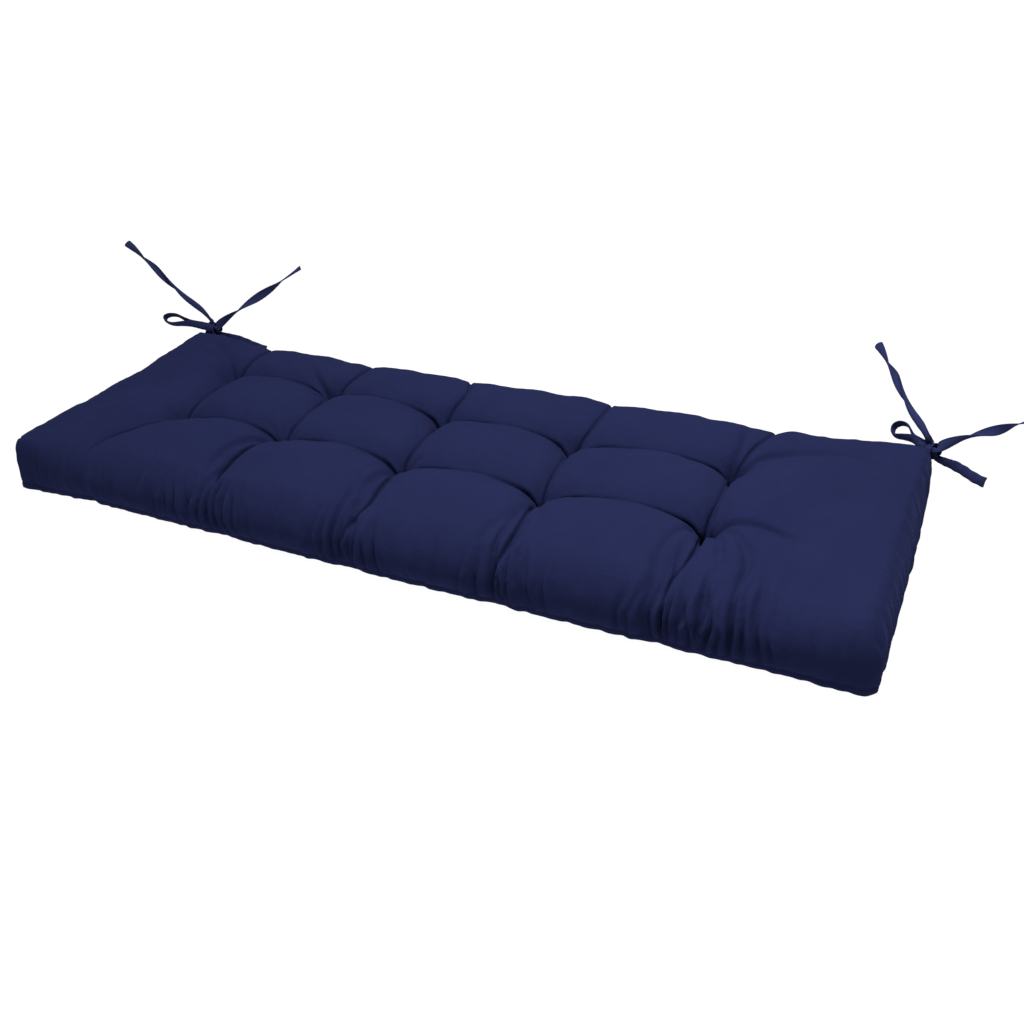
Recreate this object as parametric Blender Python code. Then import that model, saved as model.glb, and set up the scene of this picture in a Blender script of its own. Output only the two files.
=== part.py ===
"""A tufted bench cushion with a tied bow at each back corner.

One filled cushion, and four sewn straps: two at each back corner, tied in a bow.
Metres, +Z up. The origin is the middle of the flat underside, +X runs along the
cushion, and +Y points to the back edge, where the ties are.
"""

import math

import bmesh
import bpy
from mathutils import Matrix, Vector

# The cushion's outside sizes
LENGTH = 1.295
WIDTH = 0.457
CROWN_HEIGHT = 0.110
SIDE_TOP = 0.026
SIDE_TOP_AT_CORNER = 0.062
SEAM_HEIGHT = 0.010

# How the sides curve: the roll over the top edge, wide along the back and front, tighter at
# the ends and at the corner darts, and the tuck in towards the underside. Above the roll the
# top climbs on along a slope, which takes most of the height at the front. The right end is
# sewn a little out of square, and the front edge runs in towards its left corner.
FRONT_ROLL = 0.050
BACK_ROLL = 0.046
END_ROLL = 0.022
CORNER_ROLL = 0.010
FRONT_SLOPE = 0.46
BACK_SLOPE = 0.22
END_SLOPE = 0.18
SLOPE_LOST_AT_CORNER = 0.7
SLOPE_REACH = 0.125
CORNER_REACH = 0.075
BACK_CORNER_REACH = 0.120
SEAM_TUCK = 0.003
UNDERSIDE_TUCK = 0.010
DRAWN_IN = 0.004
LEFT_FRONT_IN = 0.010
CORNERS_IN = 0.002
END_BULGE = 0.003
OUT_OF_SQUARE = 0.006
CROWN_FALL_ENDS = 0.014
CROWN_FALL_SIDES = 0.007

# Tufts: two rows of five stitches through the filling
TUFT_COUNT = 5
TUFT_PITCH = 0.2145
TUFT_CENTRE_X = -0.0325
ROW_OFFSET = 0.0745
TUFT_DEPTH = 0.022
TUFT_REACH = 0.024
UNDER_DIMPLE = 0.004
UNDER_DIMPLE_REACH = 0.026
SHIFT_REACH = 0.090

# How far each stitch sits from its even place, as (back row x, y), (front row x, y)
TUFT_SHIFTS = (
    ((0.004, 0.014), (0.018, 0.012)),
    ((-0.012, 0.012), (0.000, 0.006)),
    ((-0.013, -0.007), (-0.002, -0.006)),
    ((-0.013, -0.017), (0.000, -0.006)),
    ((0.004, -0.004), (0.008, 0.001)),
)

# Creases between the pillows: depth at a stitch, at mid span and where one ends at an edge
CREASE_AT_TUFT = 0.030
CREASE_AT_MIDDLE = 0.018
CREASE_AT_EDGE = 0.014
CREASE_REACH = 0.066
CREASE_BLEND = 4
EDGE_PULL = 0.006
EDGE_PULL_REACH = 0.020

# How far each crease leans along +X on its way from its stitch to the back or front edge
BACK_LEANS = (-0.006, 0.006, -0.030, 0.010, 0.038)
FRONT_LEANS = (-0.062, -0.006, 0.018, 0.010, 0.000)

# Creases that leave an end stitch for an end or a corner:
# (column, row, end x, end y, depth at the stitch, depth at the end), row 0 at the back
END_CREASES = (
    (0, 0, -0.608, 0.184, 0.016, 0.003),
    (4, 0, 0.560, 0.165, 0.014, 0.002),
    (4, 1, 0.520, -0.083, 0.014, 0.001),
)

# Where the faces of the cushion are divided, as distances from an edge and from a stitch line
EDGE_STEPS = (0.0015, 0.006, 0.014, 0.028, 0.055)
STITCH_STEPS = (0.009, 0.024, 0.046, 0.076)
SIDE_STEPS = (0.018,)

# The straps and the bow knots
STRAP_WIDTH = 0.015
STRAP_THICKNESS = 0.0018
KNOT_CORE = (0.014, 0.0055, 0.0055)
KNOT_BAND_RADIUS = 0.0078
KNOT_BAND_WIDTH = 0.010
KNOT_BAND_THICKNESS = 0.0030
BUNCHED = 0.5
FOLD_GAP = 0.0010
SEWN_GAP = 0.0003

# Where the two straps of a tie are sewn in, near the top of their corner
ROOT_INSET = 0.019
ROOT_SPACING = 0.014
ROOT_DEPTH = 0.012
ROOT_HEIGHT = 0.052

# Each tie: side of the cushion, knot place, and the ends of its parts measured from the knot
TIES = (
    {
        "name": "left_tie",
        "side": -1,
        "heading_deg": -7,
        "knot": (-0.6315, 0.252, 0.086),
        "open_loop": (-0.110, -0.007, 0.010),
        "flat_loop": (0.122, 0.003, -0.014),
        "rising_tail": (-0.204, 0.035, 0.132),
        "falling_tail": (0.140, 0.104, 0.096),
    },
    {
        "name": "right_tie",
        "side": 1,
        "heading_deg": -30,
        "knot": (0.631, 0.245, 0.073),
        "open_loop": (-0.061, 0.045, -0.003),
        "flat_loop": (0.079, -0.039, -0.017),
        "rising_tail": (-0.115, 0.208, 0.058),
        "falling_tail": (0.150, 0.148, 0.009),
    },
)
TIE_ENDS = ("open_loop", "flat_loop", "rising_tail", "falling_tail")
TAIL_TURNS_DEG = {"rising_tail": (60, 470), "falling_tail": (40, 380)}
LOOP_LEAN_DEG = 50
LOOP_HALF_OPENING = 0.013
UP = Vector((0, 0, 1))

CUSHION_BLUE = (0.020, 0.026, 0.095, 1.0)
STRAP_BLUE = (0.026, 0.034, 0.120, 1.0)


def clear_scene():
    for thing in list(bpy.data.objects):
        bpy.data.objects.remove(thing)


def new_collection(name):
    group = bpy.data.collections.new(name)
    bpy.context.scene.collection.children.link(group)
    return group


def cloth_material(name, colour):
    cloth = bpy.data.materials.new(name)
    cloth.use_nodes = True
    surface = cloth.node_tree.nodes["Principled BSDF"]
    surface.inputs["Base Color"].default_value = colour
    surface.inputs["Roughness"].default_value = 0.6
    surface.inputs["Metallic"].default_value = 0.0
    return cloth


def add_object(name, mesh, group, material=None):
    thing = bpy.data.objects.new(name, mesh)
    group.objects.link(thing)
    if material:
        mesh.materials.clear()
        mesh.materials.append(material)
    return thing


def column_x(column):
    """The even place of a column of stitches along the cushion."""
    return TUFT_CENTRE_X + (column - (TUFT_COUNT - 1) / 2) * TUFT_PITCH


def even_tufts():
    """The even places of the stitches, as (column, row, x, y) with row 0 at the back."""
    places = []
    for column in range(TUFT_COUNT):
        places.append((column, 0, column_x(column), ROW_OFFSET))
        places.append((column, 1, column_x(column), -ROW_OFFSET))
    return places


def tuft_place(column, row):
    even = Vector((column_x(column), ROW_OFFSET if row == 0 else -ROW_OFFSET))
    return even + Vector(TUFT_SHIFTS[column][row])


def shifted(x, y):
    """A point of the cloth, carried along where a stitch sits off its even place."""
    moved = Vector((x, y))
    for column, row, even_x, even_y in even_tufts():
        away = math.hypot(x - even_x, y - even_y)
        moved += Vector(TUFT_SHIFTS[column][row]) * math.exp(-((away / SHIFT_REACH) ** 2))
    return moved


def crease_lines():
    """Every crease, as (start, end, depth at start, depth in the middle, depth at end)."""
    lines = []
    for column in range(TUFT_COUNT):
        back = tuft_place(column, 0)
        front = tuft_place(column, 1)
        back_edge = Vector((back.x + BACK_LEANS[column], WIDTH / 2))
        front_edge = Vector((front.x + FRONT_LEANS[column], -WIDTH / 2))
        lines.append((back, front, CREASE_AT_TUFT, CREASE_AT_MIDDLE, CREASE_AT_TUFT))
        lines.append((back, back_edge, CREASE_AT_TUFT, CREASE_AT_MIDDLE, CREASE_AT_EDGE))
        lines.append((front, front_edge, CREASE_AT_TUFT, CREASE_AT_MIDDLE, CREASE_AT_EDGE))
        if column:
            for row in (0, 1):
                ends = tuft_place(column - 1, row), tuft_place(column, row)
                lines.append((*ends, CREASE_AT_TUFT, CREASE_AT_MIDDLE, CREASE_AT_TUFT))
    for column, row, x, y, at_stitch, at_end in END_CREASES:
        middle = (at_stitch + at_end) / 2
        lines.append((tuft_place(column, row), Vector((x, y)), at_stitch, middle, at_end))
    return lines


def crease_depth(point, lines):
    """How far the creases pull the top down here. Where two meet, the deeper one rules."""
    total = 0.0
    for start, end, at_start, at_middle, at_end in lines:
        run = end - start
        along = max(0.0, min(1.0, (point - start).dot(run) / run.length_squared))
        away = (point - (start + run * along)).length
        if away >= CREASE_REACH:
            continue
        near_end = at_start if along < 0.5 else at_end
        depth = at_middle + (near_end - at_middle) * (2 * along - 1) ** 2
        total += (depth * (1 - away / CREASE_REACH) ** 2) ** CREASE_BLEND
    return total ** (1 / CREASE_BLEND)


def stitch_depth(point):
    depth = 0.0
    for column, row, _, _ in even_tufts():
        away = (point - tuft_place(column, row)).length
        depth += TUFT_DEPTH * math.exp(-away / TUFT_REACH)
    return depth


def top_height(point, lines):
    ends = abs(2 * point.x / LENGTH) ** 4
    sides = abs(2 * point.y / WIDTH) ** 4
    crown = CROWN_HEIGHT - CROWN_FALL_ENDS * ends - CROWN_FALL_SIDES * sides
    return crown - crease_depth(point, lines) - stitch_depth(point)


def roll(distance, reach):
    """0 at the edge, 1 where the roll over the edge ends, along a quarter ellipse."""
    inner = max(0.0, 1 - distance / reach)
    return math.sqrt(1 - inner * inner)


def corner_share(distance, reach=CORNER_REACH):
    """1 at a corner dart, falling to 0 along the edge that leaves it."""
    return math.exp(-((distance / reach) ** 2))


def side_top(x, y):
    """The height where the roll over the edge begins: higher at the corners."""
    from_corner = math.hypot(LENGTH / 2 - abs(x), WIDTH / 2 - abs(y))
    return SIDE_TOP + (SIDE_TOP_AT_CORNER - SIDE_TOP) * corner_share(from_corner)


def rise_from_edge(distance, reach, slope_share, at_corner):
    """The share of the height reached: a quick roll over the edge, then a long slope."""
    reach += (CORNER_ROLL - reach) * at_corner
    slope_share *= 1 - SLOPE_LOST_AT_CORNER * at_corner
    slope = math.sin(math.pi / 2 * min(distance / SLOPE_REACH, 1))
    return (1 - slope_share) * roll(distance, reach) + slope_share * slope


def edge_rise(x, y):
    """How far up from the edges a point of the top has come, 0 at an edge and 1 inside."""
    from_end = LENGTH / 2 - abs(x)
    from_side = WIDTH / 2 - abs(y)
    long_roll, long_slope, reach = FRONT_ROLL, FRONT_SLOPE, CORNER_REACH
    if y > 0:
        long_roll, long_slope, reach = BACK_ROLL, BACK_SLOPE, BACK_CORNER_REACH
    over_side = rise_from_edge(from_side, long_roll, long_slope, corner_share(from_end, reach))
    over_end = rise_from_edge(from_end, END_ROLL, END_SLOPE, corner_share(from_side, reach))
    return over_end * over_side


def side_tuck(height):
    """How far the side stands in from the widest place, by height above the surface."""
    if height <= SEAM_HEIGHT:
        return UNDERSIDE_TUCK + (SEAM_TUCK - UNDERSIDE_TUCK) * height / SEAM_HEIGHT
    return SEAM_TUCK * (1 - (height - SEAM_HEIGHT) / (SIDE_TOP - SEAM_HEIGHT)) ** 2


def edge_pull(x, leans, row):
    """How far the creases draw a long edge in at this place along it."""
    pull = 0.0
    for column in range(TUFT_COUNT):
        crease_x = tuft_place(column, row).x + leans[column]
        pull += EDGE_PULL * math.exp(-(((x - crease_x) / EDGE_PULL_REACH) ** 2))
    return pull


def cushion_point(box_point, lines):
    """Where a point of the divided box goes on the filled cushion."""
    x, y, z = box_point
    on_top = z > SIDE_TOP - 1e-6
    flat = shifted(x, y)
    tuck = side_tuck(z)
    leans, row = (BACK_LEANS, 0) if y > 0 else (FRONT_LEANS, 1)
    bow_y = DRAWN_IN * (1 - (2 * x / LENGTH) ** 4)
    if y < 0:
        bow_y = LEFT_FRONT_IN * max(0.0, -2 * x / LENGTH) ** 1.5
    from_middle = (2 * y / WIDTH) ** 4
    bow_x = CORNERS_IN * from_middle - END_BULGE * (1 - from_middle)
    pull = edge_pull(x, leans, row) * abs(2 * y / WIDTH) ** 8 * (z / SIDE_TOP)
    edge_height = side_top(x, y)
    out_of_square = OUT_OF_SQUARE * (0.5 + x / LENGTH) * 2 * y / WIDTH
    place = Vector((0.0, 0.0, z))
    place.x = flat.x * (1 - 2 * (tuck + bow_x) / LENGTH) - out_of_square
    place.y = flat.y * (1 - 2 * (tuck + bow_y + pull) / WIDTH)
    if on_top:
        place.z = edge_height + (top_height(flat, lines) - edge_height) * edge_rise(x, y)
    elif z > SEAM_HEIGHT + 1e-6:
        place.z = z * edge_height / SIDE_TOP
    elif z < 1e-6:
        place.z = underside_height(flat)
    return place


def underside_height(point):
    """Flat where the cushion rests, with a shallow dimple under each stitch."""
    height = 0.0
    for column, row, _, _ in even_tufts():
        away = (point - tuft_place(column, row)).length
        if away < UNDER_DIMPLE_REACH:
            height += UNDER_DIMPLE * (1 - away / UNDER_DIMPLE_REACH)
    return height


def dividing_lines(half_size, stitch_lines):
    """Where to divide one side of the box: close together at the edges and the stitches."""
    cuts = set()
    for sign in (-1, 1):
        cuts.update(sign * (half_size - step) for step in EDGE_STEPS)
    for line in stitch_lines:
        cuts.add(line)
        for step in STITCH_STEPS:
            cuts.update((line - step, line + step))
    middles = [(a + b) / 2 for a, b in zip(stitch_lines, stitch_lines[1:])]
    cuts.update(middles)
    kept = []
    for cut in sorted(cuts):
        if not kept or cut - kept[-1] > 0.006:
            kept.append(cut)
    return kept


def divided_box():
    """A box of the cushion's length and width, divided by planes along X, Y and Z."""
    box = bmesh.new()
    bmesh.ops.create_cube(box, size=1)
    size = Matrix.Diagonal((LENGTH, WIDTH, SIDE_TOP, 1))
    lift = Matrix.Translation((0, 0, SIDE_TOP / 2))
    bmesh.ops.transform(box, matrix=lift @ size, verts=box.verts)
    columns = [column_x(column) for column in range(TUFT_COUNT)]
    cuts = {
        (1, 0, 0): dividing_lines(LENGTH / 2, columns),
        (0, 1, 0): dividing_lines(WIDTH / 2, [-ROW_OFFSET, ROW_OFFSET]),
        (0, 0, 1): [SEAM_HEIGHT, *SIDE_STEPS],
    }
    for normal, places in cuts.items():
        for place in places:
            parts = box.verts[:] + box.edges[:] + box.faces[:]
            through = Vector(normal) * place
            bmesh.ops.bisect_plane(box, geom=parts, plane_co=through, plane_no=normal, dist=1e-7)
    return box


def make_cushion(group, material):
    box = divided_box()
    lines = crease_lines()
    for vert in box.verts:
        vert.co = cushion_point(vert.co, lines)
    mesh = bpy.data.meshes.new("cushion")
    box.to_mesh(mesh)
    box.free()
    mesh.shade_smooth()
    return add_object("cushion", mesh, group, material)


def make_seam_cutter(cushion, group):
    """The cushion's shape, a little larger, to trim a strap where it is sewn in."""
    cutter = add_object("seam_cutter", cushion.data.copy(), group)
    swell = cutter.modifiers.new("swell", "DISPLACE")
    swell.strength = SEWN_GAP
    swell.mid_level = 0
    cutter.hide_render = True
    cutter.display_type = "WIRE"
    return cutter


def make_strap_section(group):
    """The flat section that every ribbon of strap is swept with."""
    section = bpy.data.curves.new("strap_section", "CURVE")
    section.dimensions = "2D"
    spline = section.splines.new("POLY")
    corners = ((-1, -1), (1, -1), (1, 1), (-1, 1))
    spline.points.add(len(corners) - 1)
    for point, (x, y) in zip(spline.points, corners):
        point.co = (x * STRAP_WIDTH / 2, y * STRAP_THICKNESS / 2, 0, 1)
    spline.use_cyclic_u = True
    thing = bpy.data.objects.new("strap_section", section)
    thing.hide_render = True
    thing.display_type = "WIRE"
    group.objects.link(thing)
    return thing


def smooth_path(points, steps):
    """A smooth path through the points, with a number of steps between each two."""
    path = []
    for i in range(len(points) - 1):
        before = points[max(i - 1, 0)]
        start, end = points[i], points[i + 1]
        after = points[min(i + 2, len(points) - 1)]
        for step in range(steps):
            t = step / steps
            a = (end - before) * 0.5
            b = (after - start) * 0.5
            place = start * (2 * t**3 - 3 * t**2 + 1) + end * (3 * t**2 - 2 * t**3)
            path.append(place + a * (t**3 - 2 * t**2 + t) + b * (t**3 - t**2))
    path.append(points[-1].copy())
    return path


def tangents_of(path):
    """The direction of the path at each point, halfway between its two legs."""
    legs = [(b - a).normalized() for a, b in zip(path, path[1:])]
    inner = [(a + b).normalized() for a, b in zip(legs, legs[1:])]
    return [legs[0], *inner, legs[-1]]


def tilt_towards(tangent, across):
    """The tilt that turns a strap's width, level at first, to lie along a direction."""
    level = tangent.cross(UP).normalized()
    wanted = (across - tangent * across.dot(tangent)).normalized()
    return math.atan2(level.cross(wanted).dot(tangent), level.dot(wanted))


def ribbon(name, path, across, widths, section, group):
    """A strap swept along a path; across gives the direction of its width at each point."""
    curve = bpy.data.curves.new(name, "CURVE")
    curve.dimensions = "3D"
    curve.twist_mode = "Z_UP"
    curve.bevel_mode = "OBJECT"
    curve.bevel_object = section
    curve.use_fill_caps = True
    spline = curve.splines.new("POLY")
    spline.points.add(len(path) - 1)
    tangents = tangents_of(path)
    for point, place, tangent, wanted, width in zip(
        spline.points, path, tangents, across, widths
    ):
        point.co = (*place, 1)
        point.tilt = tilt_towards(tangent, wanted)
        point.radius = width
    swept = bpy.data.objects.new(name, curve)
    group.objects.link(swept)
    leads = [tangent + wanted for tangent, wanted in zip(tangents, across)]
    return curve_to_mesh(swept, path, leads, group)


def split_both_faces_alike(form, path, leads):
    """Divides each four-sided face of a twisted strap on the diagonal that leads forward
    and across, so that its two faces stay one thickness apart."""
    for face in form.faces[:]:
        if len(face.verts) != 4:
            continue
        centre = face.calc_center_median()
        nearest = min(range(len(path)), key=lambda i: (path[i] - centre).length_squared)
        a, b, c, d = face.verts
        one = abs((c.co - a.co).dot(leads[nearest]))
        other = abs((d.co - b.co).dot(leads[nearest]))
        if one > other:
            bmesh.utils.face_split(face, a, c)
        else:
            bmesh.utils.face_split(face, b, d)


def curve_to_mesh(swept, path, leads, group):
    """A mesh object in the curve's place, with the caps welded to the sides."""
    name = swept.name
    bpy.context.view_layer.update()
    graph = bpy.context.evaluated_depsgraph_get()
    mesh = bpy.data.meshes.new_from_object(swept.evaluated_get(graph))
    weld = bmesh.new()
    weld.from_mesh(mesh)
    bmesh.ops.remove_doubles(weld, verts=weld.verts, dist=1e-6)
    split_both_faces_alike(weld, path, leads)
    bmesh.ops.recalc_face_normals(weld, faces=weld.faces)
    weld.to_mesh(mesh)
    weld.free()
    solid = add_object(name + "_mesh", mesh, group)
    solid.matrix_world = swept.matrix_world
    bpy.data.objects.remove(swept)
    solid.hide_render = True
    solid.display_type = "WIRE"
    return solid


def swelling(count, first, last, rise=0.35):
    """Widths along a strap: bunched at an end that is in the knot, and full elsewhere."""
    widths = []
    for i in range(count):
        t = i / (count - 1)
        from_first = first + (1 - first) * min(1.0, t / rise)
        from_last = last + (1 - last) * min(1.0, (1 - t) / rise)
        widths.append(min(from_first, from_last))
    return widths


def tail_ribbon(name, start, direction, end, turns_deg, section, group):
    """A free end of strap, which leaves the knot one way, bows out and twists as it goes."""
    reach = (end - start).length
    bend = start + direction * reach * 0.10
    middle = start.lerp(end, 0.55) + direction * reach * 0.05
    path = smooth_path([start, bend, middle, end], 10)
    first, last = (math.radians(turn) for turn in turns_deg)
    across = []
    for i, tangent in enumerate(tangents_of(path)):
        turn = first + (last - first) * i / (len(path) - 1)
        level = tangent.cross(UP).normalized()
        across.append(Matrix.Rotation(turn, 3, tangent) @ level)
    widths = swelling(len(path), BUNCHED, 1.0)
    return ribbon(name, path, across, widths, section, group)


def loop_frame(knot, tip):
    """The directions along a loop, across its opening and along its strap's width."""
    along = (tip - knot).normalized()
    level = along.cross(UP).normalized()
    width = Matrix.Rotation(math.radians(LOOP_LEAN_DEG), 3, along) @ level
    return along, width, width.cross(along).normalized()


def open_loop_ribbon(name, knot, tip, section, group):
    """The loop that stands open: out from the knot, round and back."""
    along, width, opening = loop_frame(knot, tip)
    reach = (tip - knot).length
    # How far out, and how far from the middle, as shares of the reach and the half opening
    stations = ((0.03, 0.16), (0.30, 0.35), (0.62, 0.85), (0.88, 0.95))
    outward = [knot + along * reach * out + opening * LOOP_HALF_OPENING * off
               for out, off in stations]
    inward = [knot + along * reach * out - opening * LOOP_HALF_OPENING * off
              for out, off in reversed(stations)]
    path = smooth_path([*outward, knot + along * reach, *inward], 3)
    widths = swelling(len(path), BUNCHED, BUNCHED, 0.2)
    return ribbon(name, path, [width] * len(path), widths, section, group)


def flat_loop_ribbon(name, start, tip, section, group):
    """The loop that is pressed flat: two layers of strap with a fold at the tip."""
    along = (tip - start).normalized()
    level = along.cross(UP).normalized()
    width = Matrix.Rotation(math.radians(LOOP_LEAN_DEG), 3, along) @ level
    apart = width.cross(along).normalized()
    half_gap = (STRAP_THICKNESS + FOLD_GAP) / 2
    reach = (tip - start).length - half_gap
    stations = (0, 0.25, 0.6, 1)
    station_widths = [BUNCHED, 1.0, 1.0, 1.0]
    outward = [start + along * reach * t + apart * half_gap for t in stations]
    fold = []
    for degrees in (45, 90, 135):
        turn = math.radians(degrees)
        fold.append(start + along * (reach + half_gap * math.sin(turn))
                    + apart * half_gap * math.cos(turn))
    inward = [start + along * reach * t - apart * half_gap for t in reversed(stations)]
    path = [*outward, *fold, *inward]
    widths = [*station_widths, *[1.0] * len(fold), *reversed(station_widths)]
    return ribbon(name, path, [width] * len(path), widths, section, group)


def knot_core(name, knot, heading, group):
    """The bunched cloth inside a knot."""
    form = bmesh.new()
    bmesh.ops.create_uvsphere(form, u_segments=12, v_segments=8, radius=1)
    poles_along_x = Matrix.Rotation(math.pi / 2, 4, "Y")
    size = Matrix.Diagonal((*KNOT_CORE, 1))
    place = Matrix.Translation(knot) @ heading.to_4x4() @ size @ poles_along_x
    bmesh.ops.transform(form, matrix=place, verts=form.verts)
    mesh = bpy.data.meshes.new(name)
    form.to_mesh(mesh)
    form.free()
    return add_object(name, mesh, group)


def knot_band(name, knot, heading, group):
    """The strap that is wrapped once round a knot's core."""
    bpy.ops.mesh.primitive_torus_add(
        major_segments=20,
        minor_segments=8,
        major_radius=KNOT_BAND_RADIUS,
        minor_radius=KNOT_BAND_THICKNESS / 2,
    )
    band = bpy.context.object
    band.name = name
    ring_round_x = Matrix.Rotation(math.pi / 2, 4, "Y")
    for vert in band.data.vertices:
        vert.co.z *= KNOT_BAND_WIDTH / KNOT_BAND_THICKNESS
    band.data.transform(Matrix.Translation(knot) @ heading.to_4x4() @ ring_round_x)
    for old in list(band.users_collection):
        old.objects.unlink(band)
    group.objects.link(band)
    return band


def join_parts(body, parts, cutter, material):
    """One solid strap: its parts joined to the body, then trimmed where it is sewn in."""
    body.data.name = body.name
    body.data.materials.append(material)
    for part in parts:
        join = body.modifiers.new("join_" + part.name, "BOOLEAN")
        join.operation = "UNION"
        join.object = part
    trim = body.modifiers.new("trim_at_seam", "BOOLEAN")
    trim.operation = "DIFFERENCE"
    trim.object = cutter
    return body


def make_tie(tie, section, cutter, group, helpers, material):
    """Two straps sewn in at one corner and tied in a bow."""
    name = tie["name"]
    knot = Vector(tie["knot"])
    heading = Matrix.Rotation(math.radians(tie["heading_deg"]), 3, "Z")
    right = heading @ Vector((1, 0, 0))
    back = heading @ Vector((0, 1, 0))
    ends = {key: knot + Vector(tie[key]) for key in TIE_ENDS}
    out_of_square = OUT_OF_SQUARE if tie["side"] > 0 else 0
    corner_x = tie["side"] * (LENGTH / 2 - ROOT_INSET) - out_of_square
    inner_seam = Vector((corner_x - ROOT_SPACING / 2, WIDTH / 2 - ROOT_DEPTH, ROOT_HEIGHT))
    outer_seam = Vector((corner_x + ROOT_SPACING / 2, WIDTH / 2 - ROOT_DEPTH, ROOT_HEIGHT))

    core_end = knot - right * KNOT_CORE[0] * 0.75
    inner_path = smooth_path([core_end, core_end - back * 0.005 - UP * 0.008, inner_seam], 3)
    leaving = (right + UP * 1.2 + back * 0.5).normalized()
    inner_parts = [
        ribbon(name + "_inner_root", inner_path, [right] * len(inner_path),
               [BUNCHED] * len(inner_path), section, helpers),
        open_loop_ribbon(name + "_open_loop", knot - right * 0.002, ends["open_loop"],
                         section, helpers),
        tail_ribbon(name + "_falling_tail", knot + right * 0.009, leaving,
                    ends["falling_tail"], TAIL_TURNS_DEG["falling_tail"], section, helpers),
    ]
    inner = knot_core(name + "_inner", knot, heading, group)
    join_parts(inner, inner_parts, cutter, material)

    below = knot - UP * KNOT_BAND_RADIUS
    outer_path = smooth_path([below, below - back * 0.004 - UP * 0.006, outer_seam], 3)
    above = knot + UP * KNOT_BAND_RADIUS
    lean = math.radians(LOOP_LEAN_DEG)
    behind = knot + (back * math.sin(lean) - UP * math.cos(lean)) * KNOT_BAND_RADIUS
    outer_parts = [
        ribbon(name + "_outer_root", outer_path, [right] * len(outer_path),
               [BUNCHED] * len(outer_path), section, helpers),
        flat_loop_ribbon(name + "_flat_loop", behind, ends["flat_loop"], section, helpers),
        tail_ribbon(name + "_rising_tail", above, (UP - right).normalized(),
                    ends["rising_tail"], TAIL_TURNS_DEG["rising_tail"], section, helpers),
    ]
    outer = knot_band(name + "_outer", knot, heading, group)
    join_parts(outer, outer_parts, cutter, material)


def main():
    clear_scene()
    group = new_collection("bench_cushion")
    helpers = new_collection("cutters")
    cushion = make_cushion(group, cloth_material("cushion_cloth", CUSHION_BLUE))
    cutter = make_seam_cutter(cushion, helpers)
    section = make_strap_section(helpers)
    strap_cloth = cloth_material("strap_cloth", STRAP_BLUE)
    for tie in TIES:
        make_tie(tie, section, cutter, group, helpers, strap_cloth)


main()
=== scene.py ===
# %% [markdown]
# # A tufted bench cushion with a bow at each back corner
#
# The real object is a long, filled seat cushion in plain navy cloth. Ten stitches pull the top
# down into two rows of pillows, the long edges are gathered into a seam near the underside, and
# two flat straps at each back corner are tied in a bow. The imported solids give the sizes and
# places. This lesson gives each of them its cloth: its folds, its seams, its weave and its light.

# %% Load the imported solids
import math

import bpy
import numpy as np
from mathutils import Matrix, Vector


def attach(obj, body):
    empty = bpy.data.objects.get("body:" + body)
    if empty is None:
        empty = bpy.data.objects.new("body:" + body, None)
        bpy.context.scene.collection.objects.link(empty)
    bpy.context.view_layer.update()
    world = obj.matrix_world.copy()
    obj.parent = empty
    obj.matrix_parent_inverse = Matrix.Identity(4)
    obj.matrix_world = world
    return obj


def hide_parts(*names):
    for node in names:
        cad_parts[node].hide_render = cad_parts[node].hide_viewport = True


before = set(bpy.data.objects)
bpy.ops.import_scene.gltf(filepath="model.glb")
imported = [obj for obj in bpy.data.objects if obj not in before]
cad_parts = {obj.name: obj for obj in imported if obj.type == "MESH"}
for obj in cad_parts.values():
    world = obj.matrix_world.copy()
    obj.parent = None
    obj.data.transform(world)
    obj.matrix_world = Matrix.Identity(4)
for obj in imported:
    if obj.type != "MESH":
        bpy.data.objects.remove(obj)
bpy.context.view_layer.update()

print("solids:", sorted(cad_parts))

# %% [markdown]
# ## The cushion's sizes
#
# A maker starts from the finished size: a 51 by 18 inch top, about 4 inches thick when filled.
# The top panel is cut with a dart at each corner, so the corners stand up crisp, while the long
# edges between them roll over softly. Each number here has one meaning, so that a change to the
# cushion is a change to one line.

# %% Sizes of the cushion, in metres
LENGTH, WIDTH = 1.295, 0.457
HALF = WIDTH / 2
CROWN_HEIGHT = 0.112
CROWN_FALL_ENDS, CROWN_FALL_SIDES = 0.014, 0.006
# The seam, and where the side turns into the top: round the cushion and along the front
SEAM_HEIGHT = 0.010
SIDE_TOP, FRONT_SIDE_TOP = 0.026, 0.043
# From each edge the top rises in a quick roll, and for the rest in a long, low slope
FRONT_ROLL, BACK_ROLL = 0.037, 0.046
LEFT_ROLL, RIGHT_ROLL = 0.022, 0.024
SLOPE_REACH = 0.125
FRONT_SLOPE, BACK_SLOPE, LEFT_SLOPE, RIGHT_SLOPE = 0.33, 0.22, 0.19, 0.12
# How far round a corner its dart lifts the side, and how much of the slope it takes away
DART_REACH, SLOPE_LOST_AT_DART = 0.075, 0.7
# Each dart's top, the roll over it and its reach along the long edge and along the end:
# front left, front right, back left, back right
DART_TOPS = ((0.062, 0.046), (0.064, 0.056))
DART_ROLLS = ((0.010, 0.030), (0.010, 0.014))
DART_REACHES = ((0.075, 0.075), (0.165, 0.120))
DART_END_REACHES = ((0.075, 0.075), (0.070, 0.120))
# The left end widens towards its bottom front corner, from this height down
LEFT_FLARE, FLARE_TOP = 0.018, 0.066
# How far the sides are tucked in: at the seam and at the underside, in the groove of the seam
# itself, and under the overhang of the front
SEAM_TUCK, UNDERSIDE_TUCK = 0.0025, 0.0060
SEAM_GROOVE, SEAM_GROOVE_REACH = 0.0007, 0.0012
TUCK_LOST_AT_CORNER = 0.8
FRONT_UNDERCUT, UNDERCUT_LOST_AT_CORNER, UNDERCUT_LEVEL = 0.009, 0.7, 0.55
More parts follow.
